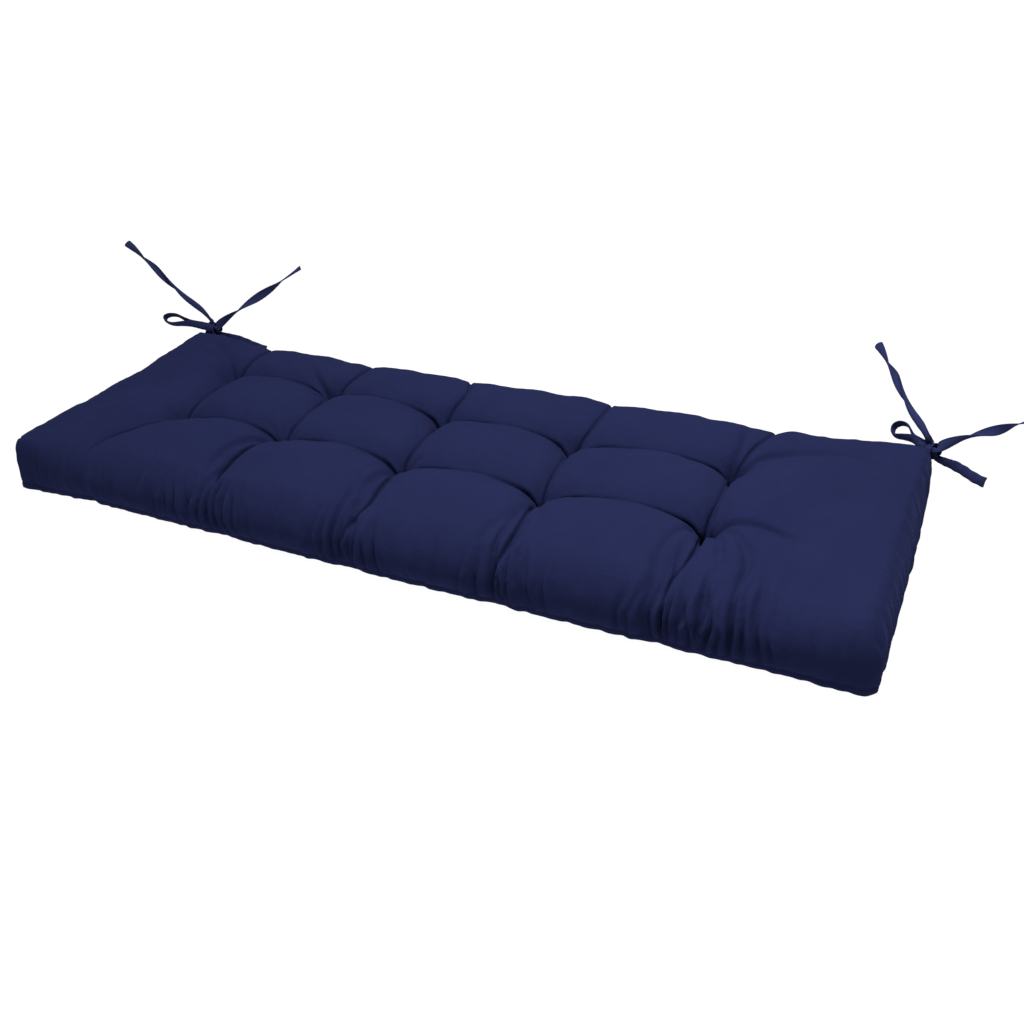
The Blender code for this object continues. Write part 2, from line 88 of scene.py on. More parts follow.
# How the plan departs from a rectangle: along the back, at the two halves of the front, at
# the corners, along the ends, at the right end's slant, and where a crease meets an edge
DRAWN_IN, LEFT_FRONT_IN, RIGHT_FRONT_IN = 0.004, 0.010, 0.007
CORNERS_IN, END_BULGE, OUT_OF_SQUARE = 0.002, 0.001, 0.006
CREASE_PULL, CREASE_PULL_REACH = 0.0035, 0.016
# How round each corner is in plan: front left, front right, back left, back right
CORNER_RADII = ((0.008, 0.020), (0.012, 0.014))

# The ten tufting stitches, back row and front row from left to right, as x and y
BACK_TUFTS = np.array([
    (-0.4575, 0.0885), (-0.2590, 0.0865), (-0.0460, 0.0675), (0.1685, 0.0575), (0.4005, 0.0705),
])
FRONT_TUFTS = np.array([
    (-0.4435, -0.0625), (-0.2470, -0.0685), (-0.0345, -0.0805), (0.1820, -0.0805), (0.4045, -0.0735),
])
TUFTS = np.concatenate([BACK_TUFTS, FRONT_TUFTS])
print("tufts:", len(TUFTS), "pitch in mm:", np.round(1000 * np.diff(BACK_TUFTS[:, 0])).tolist())

# %% [markdown]
# ## Creases
#
# Between two tufts the filling lies lower, because the cloth is held down at both ends. So each
# crease is a line on the flat panel with a depth that is greatest at the stitch. Near the line
# two pillows press on each other: the wide, soft part of the crease is the filling giving way,
# and the narrow part is the cloth itself folding in. The lines are read off the photograph and
# written as places on the flat panel, so that they bend as they do there.

# %% Helpers for a crease's line
COLUMN_BOW, ROW_BOW = 0.004, 0.012


def bowed(start, end, bow):
    """A crease between two stitches whose middle is carried sideways."""
    start, end = np.array(start), np.array(end)
    across = np.array([-(end - start)[1], (end - start)[0]])
    middle = (start + end) / 2 + across / np.linalg.norm(across) * bow
    return [start, middle, end]


def smooth_line(points, steps=6):
    """A smooth line through the points of a crease."""
    points = [np.array(p, float) for p in points]
    line = []
    for i in range(len(points) - 1):
        before, start = points[max(i - 1, 0)], points[i]
        end, after = points[i + 1], points[min(i + 2, len(points) - 1)]
        for t in np.arange(steps) / steps:
            lead, trail = (end - before) / 2, (after - start) / 2
            line.append(start * (2 * t**3 - 3 * t**2 + 1) + end * (3 * t**2 - 2 * t**3)
                        + lead * (t**3 - 2 * t**2 + t) + trail * (t**3 - t**2))
    return np.array([*line, points[-1]])


bow_line = smooth_line(bowed(BACK_TUFTS[0], BACK_TUFTS[1], ROW_BOW))
print("places along one bowed crease:", len(bow_line))

# %% The lines and depths of the creases
# After its tuft, where each column's crease runs to the back edge and to the front edge
BACK_ENDS = (
    ((-0.452, 0.130), (-0.463, HALF)),
    ((-0.240, 0.140), (-0.252, HALF)),
    ((-0.040, 0.140), (-0.078, HALF)),
    ((0.185, 0.110), (0.178, HALF)),
    ((0.418, 0.130), (0.440, HALF)),
)
FRONT_ENDS = (
    ((-0.470, -0.125), (-0.500, -0.165), (-0.512, -HALF)),
    ((-0.266, -0.120), (-0.270, -0.190), (-0.258, -HALF)),
    ((-0.026, -0.140), (-0.024, -0.190), (-0.046, -HALF)),
    ((0.188, -0.140), (0.190, -0.200), (0.178, -HALF)),
    ((0.412, -0.140), (0.402, -0.200), (0.396, -HALF)),
)
to_back = [[tuft, *ends] for tuft, ends in zip(BACK_TUFTS, BACK_ENDS)]
to_front = [[tuft, *ends] for tuft, ends in zip(FRONT_TUFTS, FRONT_ENDS)]

# Each crease: its line, then its soft depth at the start, middle and end, then its sharp depth
creases = []
for back, front in zip(BACK_TUFTS, FRONT_TUFTS):
    creases.append((bowed(back, front, COLUMN_BOW), (0.036, 0.020, 0.036), (0.011, 0.002, 0.011)))
for row in (BACK_TUFTS, FRONT_TUFTS):
    for left, right in zip(row, row[1:]):
        creases.append((bowed(left, right, ROW_BOW), (0.036, 0.018, 0.036), (0.011, 0.001, 0.011)))
for line in to_back:
    creases.append((line, (0.034, 0.011, 0.000), (0.011, 0.004, 0.001)))
creases.append((to_front[0], (0.032, 0.012, 0.000), (0.010, 0.003, 0.000)))
for line in to_front[1:]:
    creases.append((line, (0.034, 0.015, 0.007), (0.012, 0.008, 0.004)))
print("creases between the pillows:", len(creases))

# %% [markdown]
# ## A net over the cushion
#
# Cloth folds are finer than the pillows, so the mesh needs a small, even net. A subdivided cube
# would do, but it puts points where nothing happens. Here the points lie on chosen lines: close
# together where the cloth rolls over an edge and beside each crease, and about 3 mm apart
# elsewhere, a little closer along the cushion, because its gathers climb from the long seams and
# need points across them. Only the shell of the box is numbered, and neighbouring numbers make
# its faces. The underside is flat, so it keeps every fifth line, and a ring of wider faces joins
# it to the fine lines of the sides.

# %% Choose the lines of the net
STEP_ALONG, STEP_ACROSS = 0.0027, 0.0037
UNDERSIDE_STRIDE = 5
BESIDE_CREASE = (0.0009, 0.0020, 0.0034, 0.0052, 0.0076)
COLUMN_X = (BACK_TUFTS[:, 0] + FRONT_TUFTS[:, 0]) / 2
ROW_Y = np.array([BACK_TUFTS[:, 1].mean(), FRONT_TUFTS[:, 1].mean()])


def edge_lines(reach, step):
    """Distances from an edge that divide a roll over it into even steps of cloth."""
    count = max(4, int(round(reach * math.pi / 2 / step)))
    return reach * (1 - np.cos(np.linspace(0, math.pi / 2, count + 1)))


def net_lines(length, low_roll, high_roll, crease_places, step):
    """Lines across one side of the panel: over the rolls, beside the creases and between."""
    low = -length / 2 + edge_lines(low_roll, step)
    high = length / 2 - edge_lines(high_roll, step)[::-1]
    groups = [low]
    for place in sorted(crease_places):
        beside = np.array([-off for off in BESIDE_CREASE[::-1]] + [0, *BESIDE_CREASE])
        groups.append(place + beside)
    groups.append(high)
    lines = [groups[0]]
    for before, after in zip(groups, groups[1:]):
        gap = after[0] - before[-1]
        lines.append(np.linspace(before[-1], after[0], int(round(gap / step)) + 1)[1:-1])
        lines.append(after)
    return np.concatenate(lines)


net_x = net_lines(LENGTH, LEFT_ROLL, RIGHT_ROLL, COLUMN_X, STEP_ALONG)
net_y = net_lines(WIDTH, FRONT_ROLL, BACK_ROLL, ROW_Y, STEP_ACROSS)
net_z = np.array([0, 0.003, 0.0065, 0.0088, SEAM_HEIGHT, 0.0112, 0.0135, 0.0165, 0.0195, 0.023, SIDE_TOP])
print("lines of the net along, across and up:", len(net_x), len(net_y), len(net_z))


# %% Number the shell of the box and make its faces
def kept_lines(count):
    """Every fifth line of the underside, with both edges."""
    inner = list(range(UNDERSIDE_STRIDE, count - UNDERSIDE_STRIDE, UNDERSIDE_STRIDE))
    return [0, *inner, count - 1]


def quads(sheet):
    return np.stack([sheet[:-1, :-1], sheet[1:, :-1], sheet[1:, 1:], sheet[:-1, 1:]], -1).reshape(-1, 4)


def underside_ring(sheet, rows, columns):
    """Faces between the fine points of the underside's edge and its wide inner net."""
    ring = []
    last_row, last_column = rows[-1], columns[-1]
    for a, b in zip(rows[1:-2], rows[2:-1]):
        ring.append([sheet[b, columns[1]], sheet[a, columns[1]], *sheet[a:b + 1, 0]])
        ring.append([sheet[a, columns[-2]], sheet[b, columns[-2]], *sheet[a:b + 1, last_column][::-1]])
    for a, b in zip(columns[1:-2], columns[2:-1]):
        ring.append([sheet[rows[1], a], sheet[rows[1], b], *sheet[0, a:b + 1][::-1]])
        ring.append([sheet[rows[-2], b], sheet[rows[-2], a], *sheet[last_row, a:b + 1]])
    r, s, c, d = rows[1], rows[-2], columns[1], columns[-2]
    ring.append([sheet[r, c], *sheet[0, :c + 1][::-1], *sheet[1:r + 1, 0]])
    ring.append([sheet[s, c], *sheet[s:, 0], *sheet[last_row, 1:c + 1]])
    ring.append([sheet[s, d], *sheet[last_row, d:], *sheet[s:last_row, last_column][::-1]])
    ring.append([sheet[r, d], *sheet[:r + 1, last_column][::-1], *sheet[0, d:last_column][::-1]])
    return ring


def shell_of_box():
    """The flat places of the net's points, their levels, and the faces between them."""
    counts = len(net_x), len(net_y), len(net_z)
    rows, columns = kept_lines(counts[0]), kept_lines(counts[1])
    i, j, k = np.indices(counts)
    border = (i == 0) | (i == counts[0] - 1) | (j == 0) | (j == counts[1] - 1)
    used = border | (k == counts[2] - 1) | ((k == 0) & np.isin(i, rows) & np.isin(j, columns))
    number = -np.ones(counts, int)
    number[used] = np.arange(used.sum())
    flat = np.column_stack([net_x[i[used]], net_y[j[used]], net_z[k[used]]])
    under = number[:, :, 0]
    inner = under[np.ix_(rows[1:-1], columns[1:-1])]
    faces = np.concatenate([
        quads(number[:, :, -1]), quads(inner)[:, ::-1],
        quads(number[:, 0, :]), quads(number[:, -1, :])[:, ::-1],
        quads(number[0, :, :])[:, ::-1], quads(number[-1, :, :]),
    ])
    return flat, faces, [face[::-1] for face in underside_ring(under, rows, columns)]


net, net_faces, ring_faces = shell_of_box()
print("net:", len(net), "points,", len(net_faces), "faces and", len(ring_faces), "in the ring")

# %% [markdown]
# ## Bend the net to the creases
#
# A fold that crosses a net at a slant looks sawn. So the lines of the net are bent sideways, and
# one of them runs along the bottom of each crease. The bend fades towards the next crease. Each
# bend shifts the places that the other direction is read at, so it is worked out a few times.

# %% Bend one line of the net into each crease
def column_line(column):
    """The whole crease of a column, from the front edge to the back edge, as x and y."""
    between = bowed(BACK_TUFTS[column], FRONT_TUFTS[column], COLUMN_BOW)
    parts = [smooth_line(to_back[column])[::-1], smooth_line(between), smooth_line(to_front[column])]
    return np.concatenate(parts)[::-1]


def row_line(tufts):
    return np.concatenate([smooth_line(bowed(a, b, ROW_BOW)) for a, b in zip(tufts, tufts[1:])])


COLUMN_BEND_REACH, ROW_BEND_REACH, BEND_ROUNDS = 0.100, 0.070, 4
column_lines = [column_line(column) for column in range(5)]
row_lines = [row_line(BACK_TUFTS), row_line(FRONT_TUFTS)]


def bent_to_creases(flat):
    """The net with its lines bent sideways, so that one follows each crease."""
    x, y = flat[:, 0].copy(), flat[:, 1].copy()
    for _ in range(BEND_ROUNDS):
        new_x, new_y = flat[:, 0].copy(), flat[:, 1].copy()
        for place, line in zip(COLUMN_X, column_lines):
            share = np.clip(1 - abs(flat[:, 0] - place) / COLUMN_BEND_REACH, 0, 1)
            new_x += share * (np.interp(y, line[:, 1], line[:, 0]) - place)
        for place, line in zip(ROW_Y, row_lines):
            share = np.clip(1 - abs(flat[:, 1] - place) / ROW_BEND_REACH, 0, 1)
            new_y += share * (np.interp(x, line[:, 0], line[:, 1]) - place)
        x, y = new_x, new_y
    return np.column_stack([x, y, flat[:, 2]])


straight_net = net
net = bent_to_creases(straight_net)
bend = np.linalg.norm(net - straight_net, axis=1).max()
print("furthest that a point of the net is bent in mm:", round(1000 * float(bend), 1))

# %% [markdown]
# ## Pull lines
#
# A stitch also gathers the cloth round it: short, sharp folds run out from each tuft and fade
# within a hand's width, and two long ones reach for the left back corner. They are narrow and
# move the filling less than a crease does, so they have less soft depth.

# %% The pull lines at the tufts and towards the corners
# Each one: its tuft, the rest of its line, its soft depths and its sharp depths
PULL_TABLE = (
    (0, ((-0.520, 0.150), (-0.590, 0.200)), (0.014, 0.006, 0.000), (0.006, 0.003, 0.001)),
    (0, ((-0.530, 0.130), (-0.610, 0.165)), (0.010, 0.003, 0.000), (0.004, 0.002, 0.000)),
    (1, ((-0.300, 0.108), (-0.335, 0.145)), (0.014, 0.006, 0.001), (0.006, 0.004, 0.000)),
    (4, ((0.402, 0.120), (0.396, 0.190)), (0.010, 0.005, 0.001), (0.005, 0.003, 0.001)),
    (4, ((0.450, 0.112), (0.540, 0.150), (0.640, 0.110)), (0.020, 0.010, 0.003), (0.006, 0.002, 0.000)),
    (9, ((0.455, -0.070), (0.500, -0.082), (0.545, -0.105)), (0.018, 0.008, 0.000), (0.006, 0.004, 0.000)),
    (6, ((-0.272, -0.100), (-0.292, -0.150), (-0.288, -0.205)), (0.012, 0.006, 0.002), (0.005, 0.004, 0.002)),
    (7, ((-0.040, -0.130), (-0.052, -0.180), (-0.062, -0.222)), (0.006, 0.003, 0.001), (0.003, 0.003, 0.003)),
    (8, ((0.200, -0.130), (0.216, -0.170)), (0.006, 0.003, 0.000), (0.004, 0.003, 0.000)),
    (9, ((0.430, -0.110), (0.446, -0.160), (0.444, -0.215)), (0.010, 0.005, 0.001), (0.005, 0.004, 0.002)),
    (9, ((0.444, -0.098), (0.474, -0.140), (0.480, -0.190)), (0.008, 0.004, 0.000), (0.004, 0.004, 0.001)),
    (9, ((0.386, -0.110), (0.376, -0.160), (0.382, -0.215)), (0.006, 0.003, 0.001), (0.003, 0.003, 0.002)),
)
pull_lines = [([TUFTS[tuft], *rest], soft, sharp) for tuft, rest, soft, sharp in PULL_TABLE]
print("pull lines:", len(pull_lines))

# %% [markdown]
# ## From lines to depth
#
# For every point of the net the nearest place on each line gives a distance and how far along
# the line it is. The soft part of a crease is a wide hollow with a steeper shoulder inside it,
# because the cloth turns over quickly just before it folds in. The soft parts of several creases
# are blended so that the deepest rules, which keeps a meeting of five creases from becoming a
# pit. Each stitch adds its own small hole.

# %% Depth of the creases at a place on the panel
SOFT_REACH, SHOULDER_REACH, SHOULDER_SHARE = 0.096, 0.038, 0.46
GAP_REACH, GAP_STRENGTH = 0.0026, 1
PULL_REACH, PULL_STRENGTH = 0.0065, 1.5
BLEND = 4
STITCH_DEPTH, STITCH_REACH = 0.012, 0.011
FAR = 9.0


def nearest_on_line(line, x, y):
    """Distance from a smooth line, and the share of its length where the nearest place is."""
    legs = np.diff(line, axis=0)
    lengths = np.linalg.norm(legs, axis=1)
    starts = np.concatenate([[0], np.cumsum(lengths)])
    best, share = np.full(x.shape, FAR), np.zeros(x.shape)
    for leg, length, start, point in zip(legs, lengths, starts, line):
        t = np.clip(((x - point[0]) * leg[0] + (y - point[1]) * leg[1]) / length**2, 0, 1)
        away = np.hypot(x - point[0] - leg[0] * t, y - point[1] - leg[1] * t)
        closer = away < best
        best = np.where(closer, away, best)
        share = np.where(closer, (start + t * length) / starts[-1], share)
    return best, share


def depth_along(depths, share):
    """The depth of a crease along it, from its start, middle and end values."""
    start, middle, end = depths
    near = np.where(share < 0.5, start, end)
    return middle + (near - middle) * (2 * share - 1) ** 2


def crease_depths(x, y):
    """The soft depth and the sharp depth of all the lines together."""
    soft, sharp = np.zeros(x.shape), np.zeros(x.shape)
    kinds = (creases, GAP_REACH, GAP_STRENGTH), (pull_lines, PULL_REACH, PULL_STRENGTH)
    for lines, sharp_reach, strength in kinds:
        for points, soft_depths, sharp_depths in lines:
            away, share = nearest_on_line(smooth_line(points), x, y)
            wide = np.clip(1 - away / SOFT_REACH, 0, 1) ** 2
            shoulder = np.clip(1 - away / SHOULDER_REACH, 0, 1) ** 2
            give = depth_along(soft_depths, share) * ((1 - SHOULDER_SHARE) * wide + SHOULDER_SHARE * shoulder)
            fold = strength * depth_along(sharp_depths, share) * np.exp(-((away / sharp_reach) ** 2))
            soft += give**BLEND
            sharp += fold**BLEND
    return soft ** (1 / BLEND), sharp ** (1 / BLEND)


def stitch_depths(x, y):
    depth = np.zeros(x.shape)
    for tuft_x, tuft_y in TUFTS:
        depth += STITCH_DEPTH * np.exp(-np.hypot(x - tuft_x, y - tuft_y) / STITCH_REACH)
    return depth


at_tufts = crease_depths(*TUFTS.T)[0] + stitch_depths(*TUFTS.T)
print("depth at each tuft in mm:", np.round(1000 * at_tufts).tolist())

# %% [markdown]
# ## The filled form
#
# The top rises from its edges along a quarter of an ellipse, and the sides stand nearly upright
# below it, tucked in at the seam and again at the underside. The same few rules shaped the
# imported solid, so the cloth stays close to it. A gathered seam is never straight either, so a
# few seeded waves move it in and out by a fraction of a millimetre each.

# %% Rises, rolls and the shape of the plan
SEAM_WAVES, SEAM_WAVE_HEIGHT, SEAM_WAVE_LENGTHS = 16, 0.00026, (0.014, 0.060)
LONG_SEAM_SEED, END_SEAM_SEED = 8, 7


def share_at_dart(distance, reach=DART_REACH):
    return np.exp(-((distance / reach) ** 2))


def roll(distance, reach):
    return np.sqrt(1 - np.clip(1 - distance / reach, 0, 1) ** 2)


def rise_from_edge(distance, reach, slope_share):
    """The share of the height that is reached: a quick roll over the edge, then a long slope."""
    slope = np.sin(math.pi / 2 * np.clip(distance / SLOPE_REACH, 0, 1))
    return (1 - slope_share) * roll(distance, reach) + slope_share * slope


def pull_at_creases(x, y):
    """How far the creases draw a long edge in."""
    pull = np.zeros(x.shape)
    for line in column_lines:
        at_edge = np.where(y > 0, line[-1, 0], line[0, 0])
        pull += CREASE_PULL * np.exp(-(((x - at_edge) / CREASE_PULL_REACH) ** 2))
    return pull


def rounded_in_plan(from_end, from_side, radius):
    """How far a point near a corner moves in, so that the corner is round when seen from above."""
    u, v = np.clip(1 - from_end / radius, 0, 1), np.clip(1 - from_side / radius, 0, 1)
    return radius * u * (1 - np.sqrt(1 - v**2 / 2)), radius * v * (1 - np.sqrt(1 - u**2 / 2))


def seam_bumps(along, seed):
    """The small in and out of a gathered seam, as a few seeded waves along it."""
    waves = np.random.default_rng(seed)
    bumps = np.zeros(along.shape)
    for _ in range(SEAM_WAVES):
        length, phase = waves.uniform(*SEAM_WAVE_LENGTHS), waves.uniform(0, 2 * math.pi)
        bumps += SEAM_WAVE_HEIGHT * np.sin(2 * math.pi * along / length + phase)
    return bumps


edge_bumps = seam_bumps(np.linspace(-LENGTH / 2, LENGTH / 2, 500), LONG_SEAM_SEED)
print("in and out of a long seam in mm:", round(1000 * float(np.ptp(edge_bumps)), 1))

# %% Shape the net into the filled cushion
# The sizes of the corners as tables: front and back by left and right
DARTS = {name: np.array(table) for name, table in (
    ("top", DART_TOPS), ("roll", DART_ROLLS), ("reach", DART_REACHES), ("end_reach", DART_END_REACHES),
    ("radius", CORNER_RADII),
)}


def risen_top(x, y, side_top, dart):
    """The height of the top: from the side's top over the rolls to the crown, less the creases."""
    from_end, from_side = LENGTH / 2 - abs(x), HALF - abs(y)
    at_dart_x, at_dart_y = share_at_dart(from_end, dart["reach"]), share_at_dart(from_side, dart["end_reach"])
    long_roll = np.where(y > 0, BACK_ROLL, FRONT_ROLL) * (1 - at_dart_x) + dart["roll"] * at_dart_x
    end_roll = np.where(x > 0, RIGHT_ROLL, LEFT_ROLL) * (1 - at_dart_y) + dart["roll"] * at_dart_y
    long_slope = np.where(y > 0, BACK_SLOPE, FRONT_SLOPE) * (1 - SLOPE_LOST_AT_DART * at_dart_x)
    end_slope = np.where(x > 0, RIGHT_SLOPE, LEFT_SLOPE) * (1 - SLOPE_LOST_AT_DART * at_dart_y)
    rise = rise_from_edge(from_end, end_roll, end_slope) * rise_from_edge(from_side, long_roll, long_slope)
    crown = CROWN_HEIGHT - CROWN_FALL_ENDS * abs(2 * x / LENGTH) ** 4 - CROWN_FALL_SIDES * abs(2 * y / WIDTH) ** 4
    soft, _ = crease_depths(x, y)
    return side_top + (crown - soft - stitch_depths(x, y) - side_top) * rise


def tucked_in(y, z, lift, near_corner):
    """How far every side is tucked in at a height, and how much more the front is."""
    below = UNDERSIDE_TUCK + (SEAM_TUCK - UNDERSIDE_TUCK) * np.sqrt(z / SEAM_HEIGHT)
    above = (1 - np.clip(lift, 0, 1)) ** 2
    tuck = np.where(z < SEAM_HEIGHT, below, SEAM_TUCK * above) * (1 - TUCK_LOST_AT_CORNER * near_corner)
    tuck += SEAM_GROOVE * np.exp(-(((z - SEAM_HEIGHT) / SEAM_GROOVE_REACH) ** 2))
    at_front = np.where(y < 0, 1 - UNDERCUT_LOST_AT_CORNER * near_corner, 0) * abs(2 * y / WIDTH) ** 8
    return tuck, FRONT_UNDERCUT * at_front * (np.where(z < SEAM_HEIGHT, 1, above) - UNDERCUT_LEVEL)


def filled_form(flat):
    """Places of the net's points on the filled cushion, with its creases."""
    x, y, z = flat.T
    from_end, from_side = LENGTH / 2 - abs(x), HALF - abs(y)
    quadrant = (y > 0).astype(int), (x > 0).astype(int)
    dart = {name: table[quadrant] for name, table in DARTS.items()}
    near_corner = share_at_dart(np.hypot(from_end, from_side))
    open_top = SIDE_TOP + (FRONT_SIDE_TOP - SIDE_TOP) * np.clip(0.5 - 2 * y / WIDTH, 0, 1)
    side_top = open_top + (dart["top"] - open_top) * near_corner
    lift = (z - SEAM_HEIGHT) / (SIDE_TOP - SEAM_HEIGHT)
    on_side = np.where(z > SEAM_HEIGHT + 1e-6, SEAM_HEIGHT + lift * (side_top - SEAM_HEIGHT), z)
    height = np.where(z > SIDE_TOP - 1e-6, risen_top(x, y, side_top, dart), on_side)
    tuck, undercut = tucked_in(y, z, lift, near_corner)
    along, across = 2 * x / LENGTH, 2 * y / WIDTH
    in_x = tuck + CORNERS_IN * across**4 - END_BULGE * (1 - across**4)
    in_x -= np.where(x < 0, LEFT_FLARE * (0.5 - y / WIDTH) * np.clip(1 - height / FLARE_TOP, 0, 1), 0)
    front_in = LEFT_FRONT_IN * np.clip(-along, 0, 1) + RIGHT_FRONT_IN * np.clip(along, 0, 1) ** 6
    in_y = tuck + undercut + np.where(y > 0, DRAWN_IN * (1 - along**4), front_in)
    in_y += pull_at_creases(x, y) * abs(across) ** 8
    round_x, round_y = rounded_in_plan(from_end, from_side, dart["radius"])
    in_x += round_x + seam_bumps(y + np.sign(x), END_SEAM_SEED) * abs(along) ** 24
    in_y += round_y + seam_bumps(x + np.sign(y), LONG_SEAM_SEED) * abs(across) ** 8
    place_x = x * (1 - 2 * in_x / LENGTH) - OUT_OF_SQUARE * (0.5 + x / LENGTH) * across
    return np.column_stack([place_x, y * (1 - 2 * in_y / WIDTH), height])


form = filled_form(net)
print("filled form in mm:", np.round(1000 * (form.max(0) - form.min(0))).tolist())

# %% [markdown]
# ## Gathers at the seams
#
# Where a crease runs into an edge, the panel has more cloth than the seam, so the spare is
# gathered: short upright folds, bunched below each crease, that fan out and fade as they climb.
# Each fold is a trough with a soft ridge beside it, pushed in and out along the cloth's own
# direction. Where many folds meet, their sum is held to a limit, because the cloth would fold
# over there instead of standing out. The bunches follow the photograph, and the folds in them
# and between them are drawn from a fixed seed, so that every run gives the same cushion.

# %% Folds that climb from a seam
draws = np.random.default_rng(51)
RIDGE_MOST, TROUGH_MOST = 0.0032, 0.0135
# A fold wanders from side to side, widens as it climbs, and is held flat just at the seam
WANDER, WANDER_TURN, WANDER_SHIFT = 0.35, 9, 40
WIDTH_AT_SEAM, WIDTH_GAINED, FADE_POWER = 0.6, 0.7, 1.2
HELD_BELOW, HELD_REACH = 0.003, 0.007
RIDGE_SHARE, RIDGE_BESIDE, TROUGH_POWER = 0.7, 1.6, 1.2


def fold_table(bunches, spread, count, heights, widths, depths):
    """Rows of place at the seam, lean, height, width and depth, round each bunch's place."""
    rows = []
    for middle, strength in bunches:
        for place in np.linspace(-spread, spread, count):
            off = place + draws.uniform(-1.0, 1.0) * spread / count
            fade = strength * math.exp(-((off / spread) ** 2))
            lean, height = -off * draws.uniform(0.2, 0.8), draws.uniform(*heights) * (0.6 + 0.4 * fade)
            rows.append((middle + off, lean, height, draws.uniform(*widths), draws.uniform(*depths) * fade))
    return rows


def held_to(most, push):
    return most * np.tanh(push / most)


def climbing_folds(rows, along, up):
    """How far the folds push the cloth in (negative) or out, at a place along and up from a seam."""
    push = np.zeros(along.shape)
    for place, lean, height, width, depth in rows:
        climb = np.clip(up / height, 0, 1)
        bend = WANDER * width * np.sin(WANDER_TURN * climb + WANDER_SHIFT * place)
        off = (along - place - lean * climb - bend) / (width * (WIDTH_AT_SEAM + WIDTH_GAINED * climb))
        free = 1 - np.exp(-((up + HELD_BELOW) / HELD_REACH) ** 2)
        ridge, trough = RIDGE_SHARE * np.exp(-((off - RIDGE_BESIDE) ** 2)), np.exp(-(abs(off) ** TROUGH_POWER))
        push += depth * (1 - climb) ** FADE_POWER * free * (ridge - trough)
    return np.where(push > 0, held_to(RIDGE_MOST, push), held_to(TROUGH_MOST, push))


# Each bunch: its middle along the seam, and how strong it is
FRONT_BUNCHES = ((-0.360, 0.5), (-0.262, 1.1), (-0.036, 1.2), (0.190, 1.2), (0.400, 1.3), (0.470, 1.3))
BACK_BUNCHES = ((-0.463, 0.7), (-0.252, 0.7), (-0.078, 1.0), (0.178, 0.7), (0.440, 1.0))
END_BUNCHES = [(place, 0.8) for place in (-0.15, -0.08, 0.0, 0.08, 0.15)]
front_folds = fold_table(FRONT_BUNCHES, 0.060, 9, (0.060, 0.175), (0.0034, 0.0072), (0.0085, 0.0220))
back_folds = fold_table(BACK_BUNCHES, 0.046, 7, (0.050, 0.090), (0.0038, 0.0070), (0.0030, 0.0060))
small_places = [(place, 0.55) for place in np.arange(-0.60, 0.61, 0.050)]
front_folds += fold_table(small_places, 0.022, 3, (0.030, 0.090), (0.0035, 0.0065), (0.0030, 0.0068))
back_folds += fold_table(small_places, 0.022, 4, (0.025, 0.050), (0.0028, 0.0055), (0.0010, 0.0028))
end_folds = [
    fold_table(END_BUNCHES, 0.030, 4, (0.030, 0.075), (0.0040, 0.0070), (0.0006, 0.0020)) for _ in range(2)
]
print("folds at the front, back and ends:", len(front_folds), len(back_folds), [len(rows) for rows in end_folds])

# %% [markdown]
# ## Push the folds into the cloth
#
# A fold pushes cloth along the cloth's own outward direction, so the directions are measured on
# the filled form first. The distance up from a seam is counted along the cloth, up the side and
# over the roll, which is why a fold runs on unbroken from the side onto the top. The narrow part
# of each crease is pushed in here too, and so is the furrow of the dart seam that closes each
# corner, a finger's width round from it on the end. Cloth is never quite smooth, so a few seeded
# waves of different lengths lift and lower it by up to about a millimetre, and each stitch has
# short puckers round it.

# %% Outward directions, swells and puckers
PUCKER_DEPTH, PUCKER_REACH, PUCKERS_LEAST, PUCKERS_MOST = 0.0012, 0.015, 6, 10
# Each set of swells: the length of its waves, their height and how many there are
SWELLS = ((0.090, 0.0010, 7), (0.034, 0.00045, 9), (0.015, 0.00018, 11))


def outward(points, faces):
    """The outward direction of the cloth at each point, from the faces that meet there."""
    a, b, c, d = (points[faces[:, i]] for i in range(4))
    normal = np.cross(c - a, d - b)
    total = np.zeros(points.shape)
    for i in range(4):
        np.add.at(total, faces[:, i], normal)
    return total / np.linalg.norm(total, axis=1)[:, None]


def up_from_seam(distance, z, reach):
    """Distance along the cloth from the seam: up the side, then over the roll, then inwards."""
    turned = np.arccos(np.clip(1 - distance / reach, 0, 1))
    over = 0.95 * reach * turned + np.clip(distance - reach, 0, None)
    return np.where(z > SIDE_TOP - 1e-6, SIDE_TOP + over, z) - SEAM_HEIGHT


def uneven(x, y, z):
    """Soft swells of the filling and finer ones of the cloth, from a few seeded waves."""
    swell = np.zeros(x.shape)
    for length, height, count in SWELLS:
        for _ in range(count):
            turn, phase = draws.uniform(0, 2 * math.pi, 2)
            stretch = draws.uniform(0.7, 1.4)
            along = x * math.cos(turn) + y * math.sin(turn) + z * math.cos(turn + 1)
            swell += height * np.sin(2 * math.pi * along / (length * stretch) + phase) / math.sqrt(count)
    return swell


def puckers(x, y):
    """Short ridges that run out from each stitch, as many at each as the draw gives."""
    ridges = np.zeros(x.shape)
    for tuft_x, tuft_y in TUFTS:
        away, turn = np.hypot(x - tuft_x, y - tuft_y), np.arctan2(y - tuft_y, x - tuft_x)
        count = draws.integers(PUCKERS_LEAST, PUCKERS_MOST + 1)
        wave = np.sin(count * turn + draws.uniform(0, 2 * math.pi))
        ridges += PUCKER_DEPTH * np.exp(-(((away - PUCKER_REACH) / PUCKER_REACH) ** 2)) * wave
    return ridges


direction = outward(form, net_faces)
print("share of the net that faces up:", round(float((direction[:, 2] > 0.5).mean()), 2))

# %% Push the folds, creases and dart seams into the cloth
DART_SEAM_OFF, DART_SEAM_REACH, DART_SEAM_DEPTH, DART_SEAM_RISE = 0.013, 0.0018, 0.0022, 0.050
DART_SEAM_ZONE = 0.012


